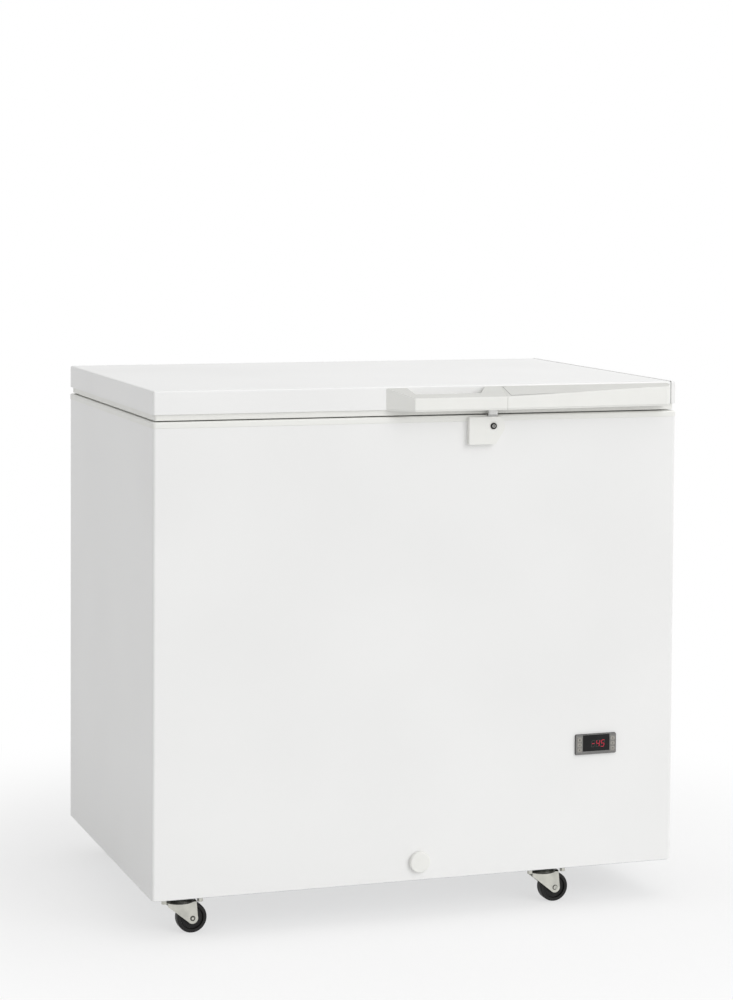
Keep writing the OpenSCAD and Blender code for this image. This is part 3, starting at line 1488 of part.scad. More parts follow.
module wheel_rear_left() { at_caster(0, 1) wheel(); }
module wheel_rear_right() { at_caster(1, 1) wheel(); }

outer_wrapper();
rear_panel();
base_pan();
insulation();
inner_liner();
top_collar();
evaporator_coil();
machine_bulkhead();
machine_tray();
compressor();
relay_box();
compressor_mounts();
condenser();
fan_shroud();
fan_motor();
fan_blade();
filter_drier();
refrigerant_lines();
side_grille();
rear_cover();
cord_gland();
controller_bezel();
controller_lens();
controller_case();
key_left_top();
key_left_middle();
key_left_bottom();
key_right_top();
key_right_middle();
key_right_bottom();
lock_housing();
lock_barrel();
lock_plug();
drain_tube();
drain_cap();
drain_plug();
temperature_probe();
hinge_bases();
hinge_pins();
hinge_springs();
hinge_leaves();
lid_skin();
lid_foam();
lid_liner();
lid_frame();
lid_gasket();
handle_grip();
handle_fascia();
latch_tongue();
lid_screws();
cabinet_screws();
caster_plates();
caster_fork_front_left();
caster_fork_front_right();
caster_fork_rear_left();
caster_fork_rear_right();
wheel_front_left();
wheel_front_right();
wheel_rear_left();
wheel_rear_right();
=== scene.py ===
# %% [markdown]
# This lesson dresses a laboratory chest freezer for its portrait. The construction comes ready
# made: every sheet, moulding, hinge and caster is already a solid of its real size. What is left
# for Blender is the finish of each surface, the rounded edges that catch the light, a few fine
# details, the camera and the studio.

import json
from math import cos, pi, radians, sin, tan

import bmesh
import bpy
from mathutils import Matrix, Vector


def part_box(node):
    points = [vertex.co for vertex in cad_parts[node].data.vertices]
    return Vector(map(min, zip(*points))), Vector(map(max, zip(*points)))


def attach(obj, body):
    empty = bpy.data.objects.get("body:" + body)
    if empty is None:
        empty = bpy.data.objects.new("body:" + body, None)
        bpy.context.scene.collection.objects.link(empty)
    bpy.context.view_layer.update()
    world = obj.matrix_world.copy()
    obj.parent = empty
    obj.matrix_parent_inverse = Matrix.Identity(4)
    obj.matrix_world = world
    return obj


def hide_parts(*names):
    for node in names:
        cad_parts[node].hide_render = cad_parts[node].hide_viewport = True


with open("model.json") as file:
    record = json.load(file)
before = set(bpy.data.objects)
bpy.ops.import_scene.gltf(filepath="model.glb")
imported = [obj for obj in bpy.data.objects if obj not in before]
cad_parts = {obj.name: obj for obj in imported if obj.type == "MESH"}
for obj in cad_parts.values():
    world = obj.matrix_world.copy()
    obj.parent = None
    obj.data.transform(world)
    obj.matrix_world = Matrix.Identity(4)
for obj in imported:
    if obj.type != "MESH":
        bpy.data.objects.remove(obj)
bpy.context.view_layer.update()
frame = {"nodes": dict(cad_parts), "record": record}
nodes = frame["nodes"]

# %% [markdown]
# The photographer stood to the left of the freezer and a little above it, with a long lens. Long
# lenses keep the upright edges of a cabinet parallel. The turn of the camera was found from the
# directions of the cabinet's edges, and its distance from how much smaller the rear edges look. A
# downward shift frames the object as the photograph does, without tilting the camera any further.

# %% Camera at the photographer's place
MM = 0.001
CAMERA_PLACE = Vector((-1482, -4423, 1221)) * MM
CAMERA_TURN = 18.85
CAMERA_PITCH = 2.8
CAMERA_ROLL = 0.35


def camera_axes(turn, pitch, roll):
    forward = Vector((sin(turn) * cos(pitch), cos(turn) * cos(pitch), -sin(pitch)))
    level = Vector((cos(turn), -sin(turn), 0))
    upright = level.cross(forward)
    right = level * cos(roll) + upright * sin(roll)
    up = upright * cos(roll) - level * sin(roll)
    return Matrix((right, up, -forward)).transposed()


camera_data = bpy.data.cameras.new("portrait_camera")
camera_data.lens = 95.15
camera_data.sensor_width = 36
camera_data.shift_x = -0.0125
camera_data.shift_y = -0.1826
camera = bpy.data.objects.new("portrait_camera", camera_data)
axes = camera_axes(radians(CAMERA_TURN), radians(CAMERA_PITCH), radians(CAMERA_ROLL))
camera.matrix_world = Matrix.Translation(CAMERA_PLACE) @ axes.to_4x4()
bpy.context.scene.collection.objects.link(camera)
bpy.context.scene.camera = camera
print("camera", camera_data.lens, "mm lens, at", [round(x, 3) for x in CAMERA_PLACE])

# %% [markdown]
# Every finish below is a small tree of shader nodes. One helper adds a node, sets its options and
# gives each of its inputs a number, a link to another node, or, on a colour ramp, a pair of
# colours. A noise seldom leaves the middle of its range, so the two colours of a ramp stand near
# the middle too. Colours are written as the hex values that a paint chart would give, and one
# function turns them into the linear numbers that the shader works with. Patterns are sized in
# millimetres.

# %% Helpers for materials
RAMP_STOPS = (0.3, 0.7)


def linear(colour):
    parts = [int(colour[i:i + 2], 16) / 255 for i in (1, 3, 5)]
    return [c / 12.92 if c <= 0.04045 else ((c + 0.055) / 1.055) ** 2.4 for c in parts] + [1.0]


def per_mm(size):
    return 1 / (size * MM)


def socket_of(value):
    return value.outputs[0] if isinstance(value, bpy.types.Node) else value


def add(tree, kind, inputs=None, ramp=(), **settings):
    node = tree.nodes.new(kind)
    for name, value in settings.items():
        setattr(node, name, value)
    for name, value in (inputs or {}).items():
        source = socket_of(value)
        if isinstance(source, bpy.types.NodeSocket):
            tree.links.new(source, node.inputs[name])
        else:
            node.inputs[name].default_value = source
    for i, colour in enumerate(ramp):
        node.color_ramp.elements[i].position = RAMP_STOPS[i]
        node.color_ramp.elements[i].color = linear(colour)
    return node


print("white in the shader is", [round(c, 3) for c in linear("#EEEEED")])

# %% [markdown]
# A second pair of helpers handles the Principled shader itself. The first starts a material, sets
# the numbers that are the same all over the surface, and hands out the place on the piece, which
# every pattern reads. The other links the patterns to the shader.

# %% Start and finish a material


def start(name, colour, roughness, metallic=0.0, ior=1.5, **inputs):
    material = bpy.data.materials.new(name)
    material.use_nodes = True
    tree = material.node_tree
    shader = tree.nodes["Principled BSDF"]
    shader.inputs["Base Color"].default_value = linear(colour)
    shader.inputs["Roughness"].default_value = roughness
    shader.inputs["Metallic"].default_value = metallic
    shader.inputs["IOR"].default_value = ior
    for socket, value in inputs.items():
        shader.inputs[socket.replace("_", " ")].default_value = value
    place = add(tree, "ShaderNodeTexCoord").outputs["Object"]
    return material, tree, shader, place


def connect(tree, shader, **sockets):
    for socket, source in sockets.items():
        tree.links.new(socket_of(source), shader.inputs[socket.replace("_", " ")])


print("a pattern of 3 mm has a scale of", round(per_mm(3)))

# %% [markdown]
# The cabinet and the lid are folded from sheet steel with a baked polyester powder coat. Such a
# coat is a satin white with a faint orange peel, a soft waviness a few millimetres across that
# only shows where the coat mirrors something bright. The sheet itself is never quite flat either,
# so a second, much wider and shallower wave bends the reflections a little.

# %% Powder-coated sheet steel


def powder_coat():
    material, tree, shader, place = start("powder_coated_steel", "#EEEEED", 0.38)
    tone = add(tree, "ShaderNodeTexNoise", {"Vector": place, "Scale": per_mm(240), "Detail": 1.0})
    peel = add(tree, "ShaderNodeTexNoise", {"Vector": place, "Scale": per_mm(3), "Detail": 3.0})
    wave = add(tree, "ShaderNodeTexNoise", {"Vector": place, "Scale": per_mm(320), "Detail": 0.0})
    colour = add(tree, "ShaderNodeValToRGB", {"Fac": tone}, ramp=("#EDEDEC", "#F0F0EF"))
    gloss = add(tree, "ShaderNodeMapRange", {"Value": peel, "To Min": 0.34, "To Max": 0.42})
    sheet = add(tree, "ShaderNodeBump", {"Height": wave, "Distance": 0.8 * MM, "Strength": 0.2})
    coat = add(tree, "ShaderNodeBump", {"Height": peel, "Distance": 0.02 * MM, "Strength": 0.35,
                                        "Normal": sheet})
    connect(tree, shader, Base_Color=colour, Roughness=gloss, Normal=coat)
    return material


coated_steel = powder_coat()
print(coated_steel.name, "for the cabinet and the lid")

# %% [markdown]
# The collar, the frame of the lid, the handle and the lock housing are injection moulded from
# white ABS. It is a touch warmer than the paint, and its mould was spark eroded, which leaves an
# even grain of about half a millimetre. That grain scatters the highlight, so the plastic looks
# drier than the painted steel beside it. It is finer than a pixel of the portrait and keeps its
# real size, so in the portrait it only dulls the shine, and close views show it. The same recipe
# in other colours makes the greys of the controller, the black housings and the smoother
# polystyrene panel on the inner side of the lid.

# %% Moulded plastics


def moulded_plastic(name, light, dark, roughness, **inputs):
    material, tree, shader, place = start(name, light, roughness, ior=1.53, **inputs)
    grain = add(tree, "ShaderNodeTexNoise", {"Vector": place, "Scale": per_mm(0.6), "Detail": 2.0})
    clouds = add(tree, "ShaderNodeTexNoise", {"Vector": place, "Scale": per_mm(60), "Detail": 2.0})
    colour = add(tree, "ShaderNodeValToRGB", {"Fac": clouds}, ramp=(dark, light))
    gloss = add(tree, "ShaderNodeMapRange", {"Value": grain, "To Min": roughness - 0.05,
                                             "To Max": roughness + 0.05})
    eroded = add(tree, "ShaderNodeBump", {"Height": grain, "Distance": 0.03 * MM, "Strength": 0.5})
    connect(tree, shader, Base_Color=colour, Roughness=gloss, Normal=eroded)
    return material


white_abs = moulded_plastic("white_moulded_abs", "#EEEEEA", "#EBEBE7", 0.46)
# This grey is painted shade on the handle's upward-tilted band, and the fascia's plate takes it too.
band_shade_abs = moulded_plastic("painted_shade_band_abs", "#D1D1CD", "#CECECA", 0.5)
shaded_abs = moulded_plastic("light_grey_moulded_abs", "#E2E2E0", "#DEDEDC", 0.42)
grey_abs = moulded_plastic("grey_moulded_abs", "#757472", "#6C6B6A", 0.5)
key_abs = moulded_plastic("light_key_abs", "#A3A099", "#97948D", 0.55)
column_abs = moulded_plastic("key_column_abs", "#8B8985", "#817F7C", 0.55)
black_abs = moulded_plastic("black_moulded_abs", "#0E0E0F", "#0A0A0B", 0.45)
barrel_abs = moulded_plastic("black_lock_barrel_abs", "#0A0A0A", "#070707", 0.6, Specular_IOR_Level=0.15)
inner_panel = moulded_plastic("white_formed_polystyrene", "#EFF0F0", "#ECEDEE", 0.34)
print("nine moulded plastics share one recipe")

# %% [markdown]
# Galvanised steel shows where nobody looks: the base pan, the tray under the compressor, the
# bulkhead and the rear cover. Zinc freezes on hot steel in crystals of about a centimetre, the
# spangle, each with its own angle and so its own brightness. Cells of a Voronoi pattern stand in
# for the crystals.

# %% Galvanised sheet with its spangle


def galvanised(name, light, dark):
    material, tree, shader, place = start(name, light, 0.45, metallic=1.0)
    cells = add(tree, "ShaderNodeTexVoronoi", {"Vector": place, "Scale": per_mm(9)})
    crystal = add(tree, "ShaderNodeSeparateColor", {"Color": cells.outputs["Color"]})
    colour = add(tree, "ShaderNodeValToRGB", {"Fac": crystal}, ramp=(dark, light))
    gloss = add(tree, "ShaderNodeMapRange", {"Value": crystal, "To Min": 0.34, "To Max": 0.52})
    facets = add(tree, "ShaderNodeBump", {"Height": cells, "Distance": 0.05 * MM, "Strength": 0.2})
    connect(tree, shader, Base_Color=colour, Roughness=gloss, Normal=facets)
    return material


galvanised_steel = galvanised("galvanised_steel", "#C9CBCC", "#B5B7B9")
print(galvanised_steel.name, "for the base and the machine compartment")

# %% [markdown]
# Small bright zinc on bolts and casters is plated instead: it has no spangle, only fine rolling
# marks, drawn out along the length, and a slightly warm clear passivation. The marks blur the
# reflections a little and keep the zinc from looking like chrome. The same fine marks suit nickel
# on brass, zinc darkened by grease and painted shade, burnished rivets and spring wire, each in its
# own colour.

# %% Plated and bare small metal parts
ROLLED = (0.12, 1, 1)


def plated(name, light, dark, roughness):
    material, tree, shader, place = start(name, light, roughness, metallic=1.0)
    along = add(tree, "ShaderNodeMapping", {"Vector": place, "Scale": ROLLED})
    marks = add(tree, "ShaderNodeTexNoise", {"Vector": along, "Scale": per_mm(1.2), "Detail": 4.0})
    handled = add(tree, "ShaderNodeTexNoise", {"Vector": place, "Scale": per_mm(16), "Detail": 3.0})
    colour = add(tree, "ShaderNodeValToRGB", {"Fac": handled}, ramp=(dark, light))
    gloss = add(tree, "ShaderNodeMapRange", {"Value": marks, "To Min": roughness - 0.08,
                                             "To Max": roughness + 0.1})
    rolled = add(tree, "ShaderNodeBump", {"Height": marks, "Distance": 0.03 * MM, "Strength": 0.4})
    connect(tree, shader, Base_Color=colour, Roughness=gloss, Normal=rolled)
    return material


plated_steel = plated("zinc_plated_steel", "#CAC9C1", "#B6B6AF", 0.34)
nickel = plated("nickel_plated_brass", "#DAD9D4", "#CFCEC9", 0.22)
# The lock's plug is a darker, more mottled nickel than the bright nickel above.
darkened_nickel = plated("darkened_nickel_plug", "#B9B8B5", "#646361", 0.18)
# The race zinc is dark partly from grease and partly as painted shade under the caster's plate.
grease_and_painted_shade_zinc = plated("grease_and_painted_shade_zinc_race", "#5C5C58", "#1E1E1D", 0.3)
burnished_steel = plated("burnished_rivet_steel", "#6A6A66", "#4A4A47", 0.26)
spring_wire = plated("oil_tempered_spring_wire", "#6E6E70", "#56565A", 0.4)
print("zinc, nickel and spring wire are done")

# %% [markdown]
# The storage space is lined with stucco-embossed aluminium. The pattern is rolled in: shallow
# dents a few millimetres across, which hide scratches from frozen packs. A smooth Voronoi relief
# draws them. The fins of the condenser are bare mill-finish aluminium with fine streaks, and the
# tubes are drawn copper, which tarnishes in brown clouds.

# %% Aluminium and copper of the inside


def stucco_aluminium():
    material, tree, shader, place = start("stucco_aluminium", "#D9DBDD", 0.32, metallic=1.0)
    dents = add(tree, "ShaderNodeTexVoronoi", {"Vector": place, "Scale": per_mm(5.5), "Smoothness": 0.8},
                feature="SMOOTH_F1")
    wiped = add(tree, "ShaderNodeTexNoise", {"Vector": place, "Scale": per_mm(30), "Detail": 2.0})
    gloss = add(tree, "ShaderNodeMapRange", {"Value": wiped, "To Min": 0.26, "To Max": 0.4})
    embossed = add(tree, "ShaderNodeBump", {"Height": dents, "Distance": 0.9 * MM, "Strength": 0.6})
    connect(tree, shader, Roughness=gloss, Normal=embossed)
    return material


def fin_aluminium():
    material, tree, shader, place = start("mill_finish_aluminium", "#CFD1D3", 0.36, metallic=1.0)
    upright = add(tree, "ShaderNodeMapping", {"Vector": place, "Scale": (1, 1, 0.08)})
    streaks = add(tree, "ShaderNodeTexNoise", {"Vector": upright, "Scale": per_mm(2), "Detail": 3.0})
    colour = add(tree, "ShaderNodeValToRGB", {"Fac": streaks}, ramp=("#C0C2C5", "#D8DADC"))
    milled = add(tree, "ShaderNodeBump", {"Height": streaks, "Distance": 0.03 * MM, "Strength": 0.3})
    connect(tree, shader, Base_Color=colour, Normal=milled)
    return material


def drawn_copper():
    material, tree, shader, place = start("drawn_copper_tube", "#C98A63", 0.3, metallic=1.0)
    tarnish = add(tree, "ShaderNodeTexNoise", {"Vector": place, "Scale": per_mm(22), "Detail": 4.0})
    drawn = add(tree, "ShaderNodeTexNoise", {"Vector": place, "Scale": per_mm(1.5), "Detail": 2.0})
    colour = add(tree, "ShaderNodeValToRGB", {"Fac": tarnish}, ramp=("#A8684A", "#CF9068"))
    gloss = add(tree, "ShaderNodeMapRange", {"Value": tarnish, "To Min": 0.42, "To Max": 0.24})
    scratched = add(tree, "ShaderNodeBump", {"Height": drawn, "Distance": 0.02 * MM, "Strength": 0.3})
    connect(tree, shader, Base_Color=colour, Roughness=gloss, Normal=scratched)
    return material


liner_aluminium = stucco_aluminium()
aluminium = fin_aluminium()
copper = drawn_copper()
print("liner, fins and tubes are done")

# %% [markdown]
# The compressor is dipped in black enamel, which runs a little before it sets, so its gloss is
# uneven. The insulation is foamed in place: rigid polyurethane of a pale yellow that darkens in
# patches, quite dull, and full of bubbles a millimetre or two across.

# %% Enamel and foam


def black_enamel():
    material, tree, shader, place = start("black_enamel", "#141416", 0.28, ior=1.52)
    drips = add(tree, "ShaderNodeTexNoise", {"Vector": place, "Scale": per_mm(12), "Detail": 3.0})
    gloss = add(tree, "ShaderNodeMapRange", {"Value": drips, "To Min": 0.22, "To Max": 0.38})
    dipped = add(tree, "ShaderNodeBump", {"Height": drips, "Distance": 0.15 * MM, "Strength": 0.35})
    connect(tree, shader, Roughness=gloss, Normal=dipped)
    return material


def rigid_foam():
    material, tree, shader, place = start("rigid_polyurethane_foam", "#E9DDAF", 0.9, ior=1.4)
    bubbles = add(tree, "ShaderNodeTexVoronoi", {"Vector": place, "Scale": per_mm(1.6)})
    patches = add(tree, "ShaderNodeTexNoise", {"Vector": place, "Scale": per_mm(25), "Detail": 3.0})
    colour = add(tree, "ShaderNodeValToRGB", {"Fac": patches}, ramp=("#E2D29B", "#EFE4BC"))
    foamed = add(tree, "ShaderNodeBump", {"Height": bubbles, "Distance": 0.5 * MM, "Strength": 0.5})
    connect(tree, shader, Base_Color=colour, Normal=foamed)
    return material


enamel = black_enamel()
foam = rigid_foam()
print(enamel.name, "and", foam.name)

# %% [markdown]
# Rubber comes in four kinds here: a hard black wheel with a faint sheen and dust in its pores, a
# soft grey magnetic gasket, the soft black rubber of mounts and plugs, and the milky silicone of
# the drain tube. The display window is smoked acrylic, nearly black with a red tint, and
# polished, so it mirrors the room.

# %% Rubber, silicone and smoked acrylic


def rubber(name, light, dark, roughness, pore_mm, **inputs):
    material, tree, shader, place = start(name, dark, roughness, ior=1.52, **inputs)
    pores = add(tree, "ShaderNodeTexNoise", {"Vector": place, "Scale": per_mm(pore_mm), "Detail": 3.0})
    dust = add(tree, "ShaderNodeTexNoise", {"Vector": place, "Scale": per_mm(9), "Detail": 4.0})
    colour = add(tree, "ShaderNodeValToRGB", {"Fac": dust}, ramp=(dark, light))
    gloss = add(tree, "ShaderNodeMapRange", {"Value": pores, "To Min": roughness - 0.08,
                                             "To Max": roughness + 0.12})
    porous = add(tree, "ShaderNodeBump", {"Height": pores, "Distance": 0.06 * MM, "Strength": 0.5})
    connect(tree, shader, Base_Color=colour, Roughness=gloss, Normal=porous)
    return material


def smoked_acrylic():
    material, tree, shader, place = start("smoked_acrylic", "#100E0F", 0.08, ior=1.49,
                                          Specular_IOR_Level=0.28)
    haze = add(tree, "ShaderNodeTexNoise", {"Vector": place, "Scale": per_mm(14), "Detail": 3.0})
    colour = add(tree, "ShaderNodeValToRGB", {"Fac": haze}, ramp=("#0B0A0B", "#141314"))
    gloss = add(tree, "ShaderNodeMapRange", {"Value": haze, "To Min": 0.06, "To Max": 0.14})
    connect(tree, shader, Base_Color=colour, Roughness=gloss)
    return material


wheel_rubber = rubber("hard_black_rubber", "#151414", "#0D0D0D", 0.5, 0.8, Specular_IOR_Level=0.3)
gasket_vinyl = rubber("grey_gasket_vinyl", "#A9A9A6", "#9B9B98", 0.55, 1.0)
soft_rubber = rubber("soft_black_rubber", "#232324", "#191919", 0.6, 1.0)
silicone = rubber("milky_silicone", "#D6D8D8", "#C8CBCB", 0.35, 2.0)
acrylic = smoked_acrylic()
print("rubber and acrylic are done")

# %% [markdown]
# Each solid now gets the finish of the real piece. The list below reads like a parts list: a
# finish, and the pieces that have it. A solid keeps its own mesh here, only its material changes.

# %% Which piece has which finish
CORNERS = [f"{end}_{side}" for end in ("front", "rear") for side in ("left", "right")]
KEYS = [f"key_{column}_{row}" for column in ("left", "right") for row in ("top", "middle", "bottom")]
FORKS = [f"caster_fork_{corner}" for corner in CORNERS]
WHEELS = [f"wheel_{corner}" for corner in CORNERS]
finishes = {
    coated_steel: ["outer_wrapper", "rear_panel", "lid_skin", "latch_tongue"],
    white_abs: ["top_collar", "lid_frame", "handle_grip", "handle_fascia", "lock_housing", "drain_cap"],
    shaded_abs: ["side_grille"],
    inner_panel: ["lid_liner"],
    grey_abs: ["controller_bezel"],
    key_abs: KEYS,
    black_abs: ["relay_box", "cord_gland", "controller_case", "fan_blade", "fan_shroud"],
    barrel_abs: ["lock_barrel"],
    galvanised_steel: ["base_pan", "machine_bulkhead", "machine_tray", "rear_cover"],
    plated_steel: ["hinge_bases", "hinge_leaves", "hinge_pins", "lid_screws", "cabinet_screws",
                   "caster_plates", *FORKS],
    nickel: ["temperature_probe"],
    darkened_nickel: ["lock_plug"],
    spring_wire: ["hinge_springs"],
    liner_aluminium: ["inner_liner"],
    copper: ["evaporator_coil", "filter_drier", "refrigerant_lines"],
    aluminium: ["condenser"],
    enamel: ["compressor", "fan_motor"],
    foam: ["insulation", "lid_foam"],
    wheel_rubber: WHEELS,
    gasket_vinyl: ["lid_gasket"],
    soft_rubber: ["compressor_mounts", "drain_plug"],
    silicone: ["drain_tube"],
    acrylic: ["controller_lens"],
}
finish_of = {name: material for material, names in finishes.items() for name in names}
for name, solid in nodes.items():
    solid.data.materials.clear()
    solid.data.materials.append(finish_of[name])
print(len(finish_of), "solids have", len(finishes), "finishes")

# %% [markdown]
# A finished piece starts as a bmesh, which is a mesh open for editing. A solid comes as loose
# triangles, so a copy of it is merged and its flat faces are put together first. The last step is
# the same for every piece: it becomes an object, its soft bends are shaded smooth and its sharp
# ones are not, and it rides on the body that it belongs to.

# %% From a solid to a finished piece
SMOOTH_UP_TO = 38
body_of = {name: body for body, names in frame["record"]["behaviour"]["bodies"].items() for name in names}


def clean_copy(name):
    bm = bmesh.new()
    bm.from_mesh(nodes[name].data)
    bmesh.ops.remove_doubles(bm, verts=bm.verts, dist=0.01 * MM)
    bmesh.ops.dissolve_limit(bm, angle_limit=radians(0.6), verts=bm.verts, edges=bm.edges)
    return bm


def show(name, bm, material, body, replaced=()):
    mesh = bpy.data.meshes.new(name)
    bm.to_mesh(mesh)
    bm.free()
    mesh.materials.append(material)
    mesh.polygons.foreach_set("use_smooth", [True] * len(mesh.polygons))
    mesh.set_sharp_from_angle(angle=radians(SMOOTH_UP_TO))
    piece = bpy.data.objects.new(name, mesh)
    bpy.context.scene.collection.objects.link(piece)
    weighted = piece.modifiers.new("even_shading", "WEIGHTED_NORMAL")
    weighted.keep_sharp = True
    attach(piece, body)
    if replaced:
        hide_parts(*replaced)
    return piece


# %% [markdown]
# Three pieces get their last few millimetres here, because that is easier on whole faces than on
# loose triangles. The frame of the lid reaches a little further out on every side. The upper edge
# of the fascia's front rises towards the right. The bolts under the casters' plates hang a little
# lower. Each rule picks the vertices by where they lie and moves them.

# %% The last few millimetres of frame, fascia and bolts
FRAME_OUT = 5.5
FRAME_RIM = (445, 297)
TAPER = 5.5
TAPER_FROM = 16
TAPER_BELOW = 3
BOLT_HEAD_Z = 58.5
BOLT_DROP = 3.5
fascia_low, fascia_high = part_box("handle_fascia")


def widen_frame(bm):
    for vert in bm.verts:
        for axis, rim in enumerate(FRAME_RIM):
            if abs(vert.co[axis]) > rim * MM:
                vert.co[axis] += (FRAME_OUT if vert.co[axis] > 0 else -FRAME_OUT) * MM


def taper_fascia(bm):
    lowest, highest = fascia_low.z + TAPER_FROM * MM, fascia_high.z - TAPER_BELOW * MM
    for vert in bm.verts:
        if vert.co.y < fascia_high.y - 1 * MM and lowest < vert.co.z < highest:
            vert.co.z += TAPER * MM * (vert.co.x - fascia_low.x) / (fascia_high.x - fascia_low.x)


def lengthen_bolts(bm):
    for vert in bm.verts:
        if (BOLT_HEAD_Z - 1) * MM < vert.co.z < (BOLT_HEAD_Z + 1) * MM:
            vert.co.z -= BOLT_DROP * MM


print("the fascia is", round((fascia_high.x - fascia_low.x) / MM, 1), "mm long")

# %% [markdown]
# The forks of the casters and the grey front of the controller carry a second finish that starts
# in the middle of a wall. A finish can only change at an edge, so straight cuts are made where
# the second one will start. A bisecting plane leaves such an edge and doesn't change the form.

# %% Cuts where a second finish starts
RACE_Z = 52.5
COLUMN_MARGIN = Vector((0.9, 0, 1.9)) * MM


def cut(bm, point, normal):
    bmesh.ops.bisect_plane(bm, geom=[*bm.verts, *bm.edges, *bm.faces], dist=0.001 * MM,
                           plane_co=point, plane_no=normal)


def cut_below_race(bm):
    cut(bm, (0, 0, RACE_Z * MM), (0, 0, 1))


def key_columns():
    for side in ("left", "right"):
        yield (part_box(f"key_{side}_bottom")[0] - COLUMN_MARGIN,
               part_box(f"key_{side}_top")[1] + COLUMN_MARGIN)


def cut_key_columns(bm):
    for low, high in key_columns():
        for corner in (low, high):
            cut(bm, corner, (1, 0, 0))
    for corner in (low, high):      # both columns are equally high, so two level cuts serve them both
        cut(bm, corner, (0, 0, 1))


reshape = {"lid_frame": widen_frame, "handle_fascia": taper_fascia, "cabinet_screws": lengthen_bolts,
           "controller_bezel": cut_key_columns, **{fork: cut_below_race for fork in FORKS}}
print(len(reshape), "pieces are reshaped or cut")

# %% [markdown]
# A knife-sharp edge is the surest sign of a computer model. Real mouldings and pressings have
# rounded edges, and each catches a thin line of light. The edges could be rounded one by one in
# the construction, but most are too small to matter there. Here the sharp edges of each clean
# copy are bevelled, and the copy stands for the solid. The numbers below are the most that an
# edge may get. The operator stops where two bevels would meet, which keeps every form closed, but
# one short edge then narrows all the bevels of its piece, on some to a hairline. Where next to
# nothing would be left, as on the grille, the number is 0. So it is for drawn and bent pieces,
# which only need smooth shading. A last merge clears away faces that the operator has shrunk to
# nothing.

# %% Round the edges of the visible pieces
SHARP_FROM = 32
MAX_CHANGE = 0.05
SHRUNK = 0.0001


def prepared(name):
    bm = clean_copy(name)
    if name in reshape:
        reshape[name](bm)
    return bm


def rounded(name, radius):
    bm = prepared(name)
    before = bm.calc_volume()
    if radius:
        sharp = [e for e in bm.edges if e.is_manifold and e.calc_face_angle() > radians(SHARP_FROM)]
        bmesh.ops.bevel(bm, geom=sharp, offset=radius * MM, affect="EDGES", segments=2, profile=0.5,
                        material=-1, clamp_overlap=True)
        bmesh.ops.remove_doubles(bm, verts=bm.verts, dist=SHRUNK * MM)
    open_edges = sum(not e.is_manifold for e in bm.edges)
    if open_edges or abs(bm.calc_volume() - before) > MAX_CHANGE * before:
        print(name, "keeps its sharp edges:", open_edges, "open edges")
        bm.free()
        bm = prepared(name)
    return show(f"{name}_finished", bm, finish_of[name], body_of[name], replaced=[name])


edge_radius = {
    "handle_grip": 2.0, "handle_fascia": 2.0, "lock_housing": 1.2, "controller_bezel": 0.8, "drain_cap": 0.7,
    "top_collar": 0.6, "lid_frame": 1.5, "lid_skin": 0, "outer_wrapper": 0, "base_pan": 0.3, "lid_liner": 1.5,
    "hinge_bases": 0.5, "hinge_leaves": 0.5, "hinge_pins": 0.4, "caster_plates": 0.4, "latch_tongue": 0.3,
    "lock_barrel": 0.25, "lock_plug": 0.15, "lid_screws": 0.3, "cabinet_screws": 0.3, "side_grille": 0,
    "rear_cover": 0.2, "cord_gland": 0.3, "compressor": 0, "relay_box": 1.2, "compressor_mounts": 0.3,
    "fan_motor": 0.4, "fan_blade": 0.4, "fan_shroud": 0.2, "filter_drier": 0, "drain_plug": 0.3,
    "temperature_probe": 0.3, "lid_gasket": 0.5, "refrigerant_lines": 0, "hinge_springs": 0,
    **{key: 0.4 for key in KEYS}, **{fork: 0.6 for fork in FORKS}, **{wheel: 0.4 for wheel in WHEELS},
}
finished = {name: rounded(name, radius) for name, radius in edge_radius.items()}
print(len(finished), "finished pieces,",
      sum(radius > 0 for radius in edge_radius.values()), "with bevelled edges")

# %% [markdown]
# A few pieces have two finishes. The slanted upper face of the handle is a flat satin band, and it
# is painted a little greyer than the glossier front: painted shade on faces that tilt upwards. A
# lighter panel frames each column of keys. A second material slot serves such faces, and each rule
# below picks them by where they lie and which way they face.

# %% Second finishes on the handle and the controller
BAND_TILT = (0.5, 0.97)
COLUMN_DEPTH = 0.8
lid_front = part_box("lid_skin")[0].y


def second_finish(piece, material, chosen):
    piece.data.materials.append(material)
    index = len(piece.data.materials) - 1
    faces = [face for face in piece.data.polygons if chosen(face)]
    for face in faces:
        face.material_index = index
    print(piece.name, "has", len(faces), "faces of", material.name)


# The band's faces tilt upwards, and their darker grey is painted shade.
def on_shaded_band(face):
    return BAND_TILT[0] < face.normal.z < BAND_TILT[1] and face.center.y < lid_front - 0.5 * MM


def in_key_column(face):
    return any(low.x < face.center.x < high.x and low.z < face.center.z < high.z
               and face.center.y < low.y + COLUMN_DEPTH * MM for low, high in key_columns())


for name in ("handle_grip", "handle_fascia"):
    second_finish(finished[name], band_shade_abs, on_shaded_band)
second_finish(finished["controller_bezel"], column_abs, in_key_column)

# %% [markdown]
# The race on top of each caster's fork is painted dark: partly grease, partly painted shade under
# the caster's plate. The rivet that holds the wheel is bare burnished steel with a bright dimple in
# its middle, which keeps the finish of the fork.

# %% Second finishes on the casters
WHEEL_RADIUS = 25
RIVET_RADIUS = 4.6
RIVET_DIMPLE = 1.2
RIVET_DEPTH = 1.1
FORK_BESIDE_WHEEL = 4.2
axles = [sum(point.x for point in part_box(wheel)) / 2 for wheel in WHEELS]
wheel_low, wheel_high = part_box("wheel_front_left")
rivet_faces = [-wheel_low.y + FORK_BESIDE_WHEEL * MM, -wheel_high.y - FORK_BESIDE_WHEEL * MM]


# Faces above the race height get the dark zinc, which is partly painted shade.
def on_race(face):
    return face.center.z > RACE_Z * MM


